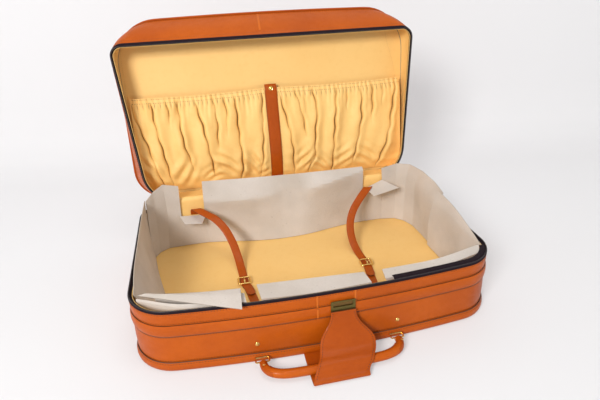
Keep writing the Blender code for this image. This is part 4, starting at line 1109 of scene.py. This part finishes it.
def inner_straps():
    """Two buckled straps that lie over the floor from the back lining to the front."""
    # Line of each strap from the back lining to its buckle, in mm
    back = {
        "left": [(-214, 198.5, 88), (-213.5, 196, 97), (-211.5, 190, 104.5), (-205, 180, 106.5),
            (-189, 165, 101.5), (-168, 148, 93), (-150, 129, 76), (-137, 108, 52), (-129, 83, 27),
            (-125.5, 56, 12.5), (-124.2, 33, 8.2), (-124, 15, 8.2)],
        "right": [(221.5, 198.5, 90), (221, 196, 99), (219, 190.5, 105.5), (212, 182, 107.5),
            (196, 168, 100), (179, 154, 89), (161, 137, 74), (148, 117, 59), (141, 95, 43),
            (140.5, 74, 26), (144, 54, 13), (147, 34, 8.2), (148, 15, 8.2)],
    }
    over = mm([(4, 8.6), (-6, 9.2), (-11, 9.6), (-17, 10.4), (-25, 10.8), (-40, 11.4), (-52, 12.4)])
    for label, x, front_x, curve in (("left", -0.1240, -0.1010, 0.50), ("right", 0.1480, 0.1175, 1.0)):
        far = front_y(front_x) + 0.0085

        def beside(y):
            """Sideways place of the strap in front of its buckle."""
            return x + (front_x - x) * (max(0.0, bar_y - y) / (bar_y - far)) ** curve

        buckle_frame(label, x)
        line = smooth_line([*mm(back[label]), *[(beside(y), y, z) for y, z in over]], 90)
        run = lengths(line)
        left = run[-1] - run
        tip = np.sqrt(np.clip(1 - ((strap_tip - left) / (strap_tip + 0.0002)) ** 2, 0.02, 1))
        width = strap_half * np.where(left < strap_tip, tip, 1)
        piece, grid = ribbon(f"strap_{label}_buckled", np.column_stack([line, width]), strap_thick, fine_hide)
        fit(piece, "base", "leather", f"strap_{label}_back")
        normal = sheet_normals(grid)
        normal *= 1 if normal[len(line) // 2, 2][2] > 0 else -1
        for column, inner in ((1, 2), (4, 3)):
            row = grid[:, column] * 0.80 + grid[:, inner] * 0.20 + normal[:, column] * 0.0009
            stitches(f"stitch_strap_{label}_{column}", row[4:-6], normal[4:-6, column], "base", dark_thread,
                     **fine_stitch)
        under = [(beside(y), y, z) for y, z in ((-0.0130, 0.0080), (-0.0170, 0.0081))]
        for share in (0.08, 0.30, 0.55, 0.80):
            y = bar_y + (far - bar_y) * share
            under.append((beside(y), y, floor_strap_z))
        # Up the front wall: steps from the wall's lining, and heights, in mm
        climb = mm([(12, 8.8), (3, 14), (1, 30), (0, 60), (0.5, 100), (-1, 118)])
        line = smooth_line(under + [(front_x, far + step, z) for step, z in climb], 60)
        stations = np.column_stack([line, np.full(len(line), strap_half)])
        piece, _ = ribbon(f"strap_{label}_anchor", stations, strap_thick, fine_hide)
        fit(piece, "base", "leather", f"strap_{label}_front")


# ---- handle and flap ----
def handle():
    """Rolled leather grip with a stitched seam, its tabs, and bright rings."""
    grip_radius, end_run, level = 0.0078, 0.030, 12
    half = [(120.5, -252), (119, -260), (113, -270), (101, -278), (83, -282.5), (50, -284.2)]
    path = [(-x, y, level) for x, y in half] + [(0, -284.8, level)] + [(x, y, level) for x, y in half[::-1]]
    line = smooth_line(mm(path), 70)
    run = lengths(line)
    near = np.minimum(run, run[-1] - run)
    radius = grip_radius * (0.66 + 0.34 * np.clip(near / end_run, 0, 1) ** 0.6)
    radius[[0, -1]] *= 0.75
    fit(tube("handle_roll", line, radius, tan, False, 20), "handle", "leather", "handle_grip")
    inward = np.cross(directions(line), (0, 0, 1.0))
    inward *= np.sign(inward[35, 1])
    inner = line + inward * (radius + 0.0004)[:, None]
    seam = np.array([inner - inward * 0.0012, inner + inward * 0.0016])[:, 3:-3]
    fit(slab("handle_seam", seam, 0.0034, fine_hide), "handle", "leather")
    row = line + inward * (radius * 0.80)[:, None] + np.array([0, 0, 1.0]) * (radius * 0.62)[:, None]
    tilted = inward[6:-6] * 0.8 + (0, 0, 0.6)
    stitches("stitch_handle", row[6:-6], tilted, "handle", dark_thread, **tight_stitch)
    sleeve = [(120.6, -247.6), (120.4, -253), (118.8, -260.8), (113, -270.2), (106, -275.2)]
    for side, label in ((-1, "left"), (1, "right")):
        route = smooth_line(mm([(side * x, y, level) for x, y in sleeve]), 18)
        radius = np.linspace(0.0066, 0.0086, 18)
        piece = tube("handle_sleeve_" + label, route, radius, tan_fine, False, 16, 0.86)
        fit(piece, "handle", "leather", "handle_tab_" + label)
        paint("handle_ring_" + label, brass)
        paint("handle_rivet_" + label, brass)


def flap_stations(count):
    """Line of the catch flap: floor layer, front fold, over the handle, and up to the catch."""
    # Places and half widths, in mm
    lower = [(0, -234, 2, 47.5), (0, -260, 1.8, 48), (0, -290, 1.8, 48.2), (0, -302, 1.8, 48)]
    fold = [(0, -308.5, 2.4, 47.8), (0, -310.2, 4.4, 47.8), (0, -308.5, 6.6, 47.8)]
    upper = [(1.6, -304, 8.5, 47.1), (4.6, -299, 12.5, 47.4), (7.9, -296, 17, 48), (11.3, -292, 21.5, 48.4),
             (15, -285.5, 24.5, 48.6), (19, -278, 26.2, 48.8), (22.2, -269, 30, 49), (24, -260, 36.2, 48),
             (23.6, -253.5, 43, 44.6), (22.9, -248.3, 50.1, 38.3), (23, -244, 57.7, 31.3),
             (23, -241, 66.1, 25.7), (23.1, -238.6, 75.1, 22.8), (23.5, -237.2, 84, 22.2)]
    return smooth_line(mm(lower + fold + upper), count)


def catch_flap():
    """Leather flap folded at the front, and its slotted catch plate."""
    stations = flap_stations(110)
    columns = (-1, -0.965, -0.80, -0.40, 0.0, 0.40, 0.80, 0.965, 1)
    middle = columns.index(0.0)
    piece, grid = ribbon("flap_leather", stations, 0.0027, fine_hide, columns, 0.6, level=True)
    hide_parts("flap_lower", "flap_fold", "flap_upper")
    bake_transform(piece)
    normal = sheet_normals(grid)
    top = [i for i in range(21, len(stations)) if stations[i][2] > 0.0075]
    low = [i for i in range(4, 34) if stations[i][2] < 0.0022]
    if normal[top[len(top) // 2], middle][1] > 0:
        normal = -normal
    shift = 0.0024 / np.maximum(stations[:, 3:4], 0.01)
    for column in (1, 7):
        row = grid[:, column] * (1 - shift) + grid[:, middle] * shift
        raised = row + normal[:, column] * 0.0014
        stitches(f"stitch_flap_{column}", raised[top], normal[top, column], "flap", dark_thread, 0.0042,
                 0.0036, 0.0014)
        stitches(f"stitch_flap_low_{column}", (row + (0, 0, 0.0013))[low], (0, 0, 1), "base", dark_thread,
                 **tight_stitch)
    paint("catch_plate", old_brass)
    plate = np.array([v.co for v in nodes["catch_plate"].data.vertices])
    margin = 0.0025
    start, stop = plate.min(axis=0) + margin, plate.max(axis=0) - margin
    y = plate[:, 1].max() + 0.0010
    xs, zs = np.linspace(start[0], stop[0], 6), np.linspace(start[2], stop[2], 4)
    backing = [[(x, y, z) for x in xs] for z in zs]
    fit(slab("catch_plate_backing", backing, 0.0008, [bronze] * 3), "flap", "old_brass")


# ---- hinge and fittings ----
def hinge_strips():
    """Leather strip outside and lining strip inside, across the hinge."""
    columns = tuple(np.linspace(-1, 1, 40))
    outer = [*mm([(0, 208.8, 96), (0, 209, 108), (0, 210.8, 116.5), (0, 215.5, 120.8)]),
             *[lid_place(0, -0.0022, w) for w in (0.0120, 0.0220, 0.0330)]]
    stations = np.column_stack([smooth_line(outer, 26), np.full(26, 0.236)])
    piece, _ = ribbon("hinge_leather_strip", stations, 0.0018, hide, columns, 0.8, True)
    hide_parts("hinge_leather")
    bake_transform(piece)
    inner = [*mm([(0, 200.2, 106), (0, 200.3, 118), (0, 201.2, 126.2), (0, 206, 131.2)]),
             *[lid_place(0, 0.0072, w) for w in (0.0080, 0.0200, 0.0400, 0.0520)]]
    stations = np.column_stack([smooth_line(inner, 26), np.full(26, 0.262)])
    piece, _ = ribbon("hinge_lining_strip", stations, 0.0012, lined, columns, 0.8)
    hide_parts("hinge_lining")
    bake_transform(piece)


def fittings():
    """Finishes of the buckles' prongs, sliders, pulls and sealed boards, and the keeper stud."""
    for label in ("left", "right"):
        for node in ("prong_", "zip_slider_", "zip_pull_"):
            paint(node + label, brass)
    for node in ("base_bottom_board", "base_wall_board"):
        paint(node, board)
    stud = [(9, 0), (9, 1), (4.2, 1.8), (3.6, 4.6), (5.6, 5.8), (5, 7), (1, 7.6)]
    piece = turned("keeper_stud", stud, lid_place(0.0235, 0.3840, lid_depth + 0.0028), lid_out, brass)
    fit(piece, "lid", "brass", "lid_keeper")


# ---- studio ----
def studio_paper():
    """Pale paper that glows a little where it is seen, and is clear from behind."""
    material = bpy.data.materials.new("studio_paper")
    material.use_nodes = True
    tree = material.node_tree
    shader = tree.nodes["Principled BSDF"]
    feed(tree, shader.inputs, {"Base Color": (0.78, 0.772, 0.778, 1), "Roughness": 0.9,
                               "Specular IOR Level": 0.1})
    rays = tree.nodes.new("ShaderNodeLightPath").outputs
    seen = maths(tree, "MAXIMUM", rays["Is Camera Ray"], rays["Is Glossy Ray"])
    seen = maths(tree, "MAXIMUM", seen, rays["Is Transmission Ray"])
    share = maths(tree, "MULTIPLY", seen, 0.35)
    glow = place(tree, "ShaderNodeEmission", {"Color": (0.90, 0.89, 0.895, 1), "Strength": 1.0}).outputs[0]
    paper = place(tree, "ShaderNodeMixShader", {0: share, 1: shader.outputs[0], 2: glow}).outputs[0]
    clear = tree.nodes.new("ShaderNodeBsdfTransparent").outputs[0]
    side = tree.nodes.new("ShaderNodeNewGeometry").outputs["Backfacing"]
    shown = place(tree, "ShaderNodeMixShader", {0: side, 1: paper, 2: clear}).outputs[0]
    feed(tree, tree.nodes["Material Output"].inputs, {"Surface": shown})
    return material


def studio():
    """Pale sweep of paper, soft lights and world."""
    rows = [(-4.0, 0.0), (0.62, 0.0), (0.72, 0.012), (0.79, 0.05), (0.83, 0.11), (0.845, 0.20), (0.85, 3.6)]
    mesh = bpy.data.meshes.new("studio_sweep")
    mesh.from_pydata([(x, y, z - 0.0002) for y, z in rows for x in (-4.5, 4.5)], [],
                     [[2 * i, 2 * i + 1, 2 * i + 3, 2 * i + 2] for i in range(len(rows) - 1)])
    mesh.materials.append(studio_paper())
    mesh.polygons.foreach_set("use_smooth", [True] * len(mesh.polygons))
    sweep = bpy.data.objects.new("studio_sweep", mesh)
    sweep.rotation_euler[2] = math.radians(-9)
    bpy.context.scene.collection.objects.link(sweep)
    world = bpy.data.worlds.new("studio")
    world.use_nodes = True
    back = world.node_tree.nodes["Background"].inputs
    feed(world.node_tree, back, {"Color": (1.0, 0.99, 0.98, 1), "Strength": 0.38})
    bpy.context.scene.world = world
    for name, spot, aim, size, power in (
        ("key", (-1.8, -2.4, 1.85), (0, 0, 0.2), 1.0, 102.0),
        ("top", (0.2, -0.4, 2.7), (0, 0.05, 0.1), 1.2, 13.0),
        ("fill", (2.2, -1.9, 1.2), (0, 0, 0.2), 1.8, 8.0),
    ):
        lamp = bpy.data.lights.new(name, "AREA")
        lamp.shape = "SQUARE"
        lamp.size = size
        lamp.energy = power
        light = bpy.data.objects.new(name, lamp)
        light.location = spot
        light.rotation_euler = (Vector(aim) - Vector(spot)).to_track_quat("-Z", "Y").to_euler()
        bpy.context.scene.collection.objects.link(light)
    bpy.context.scene.view_settings.view_transform = "Standard"


def photo_camera():
    """Camera fitted to the photograph."""
    pitch, yaw, roll = 0.442, 0.198, -0.040
    focal_pixels, picture_width = 495.8, 600
    level = Vector((math.sin(yaw), math.cos(yaw), 0))
    right = Vector((math.cos(yaw), -math.sin(yaw), 0))
    up = Vector((0, 0, 1))
    ahead = level * math.cos(pitch) - up * math.sin(pitch)
    over = level * math.sin(pitch) + up * math.cos(pitch)
    basis = Matrix((right * math.cos(roll) + over * math.sin(roll),
                    over * math.cos(roll) - right * math.sin(roll), -ahead)).transposed()
    data = bpy.data.cameras.new("photo_view")
    data.sensor_width = 36.0
    data.lens = focal_pixels / picture_width * data.sensor_width
    data.clip_start = 0.01
    camera = bpy.data.objects.new("photo_view", data)
    camera.matrix_world = Matrix.Translation((-0.175, -0.889, 0.615)) @ basis.to_4x4()
    bpy.context.scene.collection.objects.link(camera)
    bpy.context.scene.camera = camera


for make in (studio, photo_camera, base_shell, base_inside, lid_shell, lid_lining, pockets, pocket_strap,
             card_liner, inner_straps, handle, catch_flap, hinge_strips, fittings):
    make()
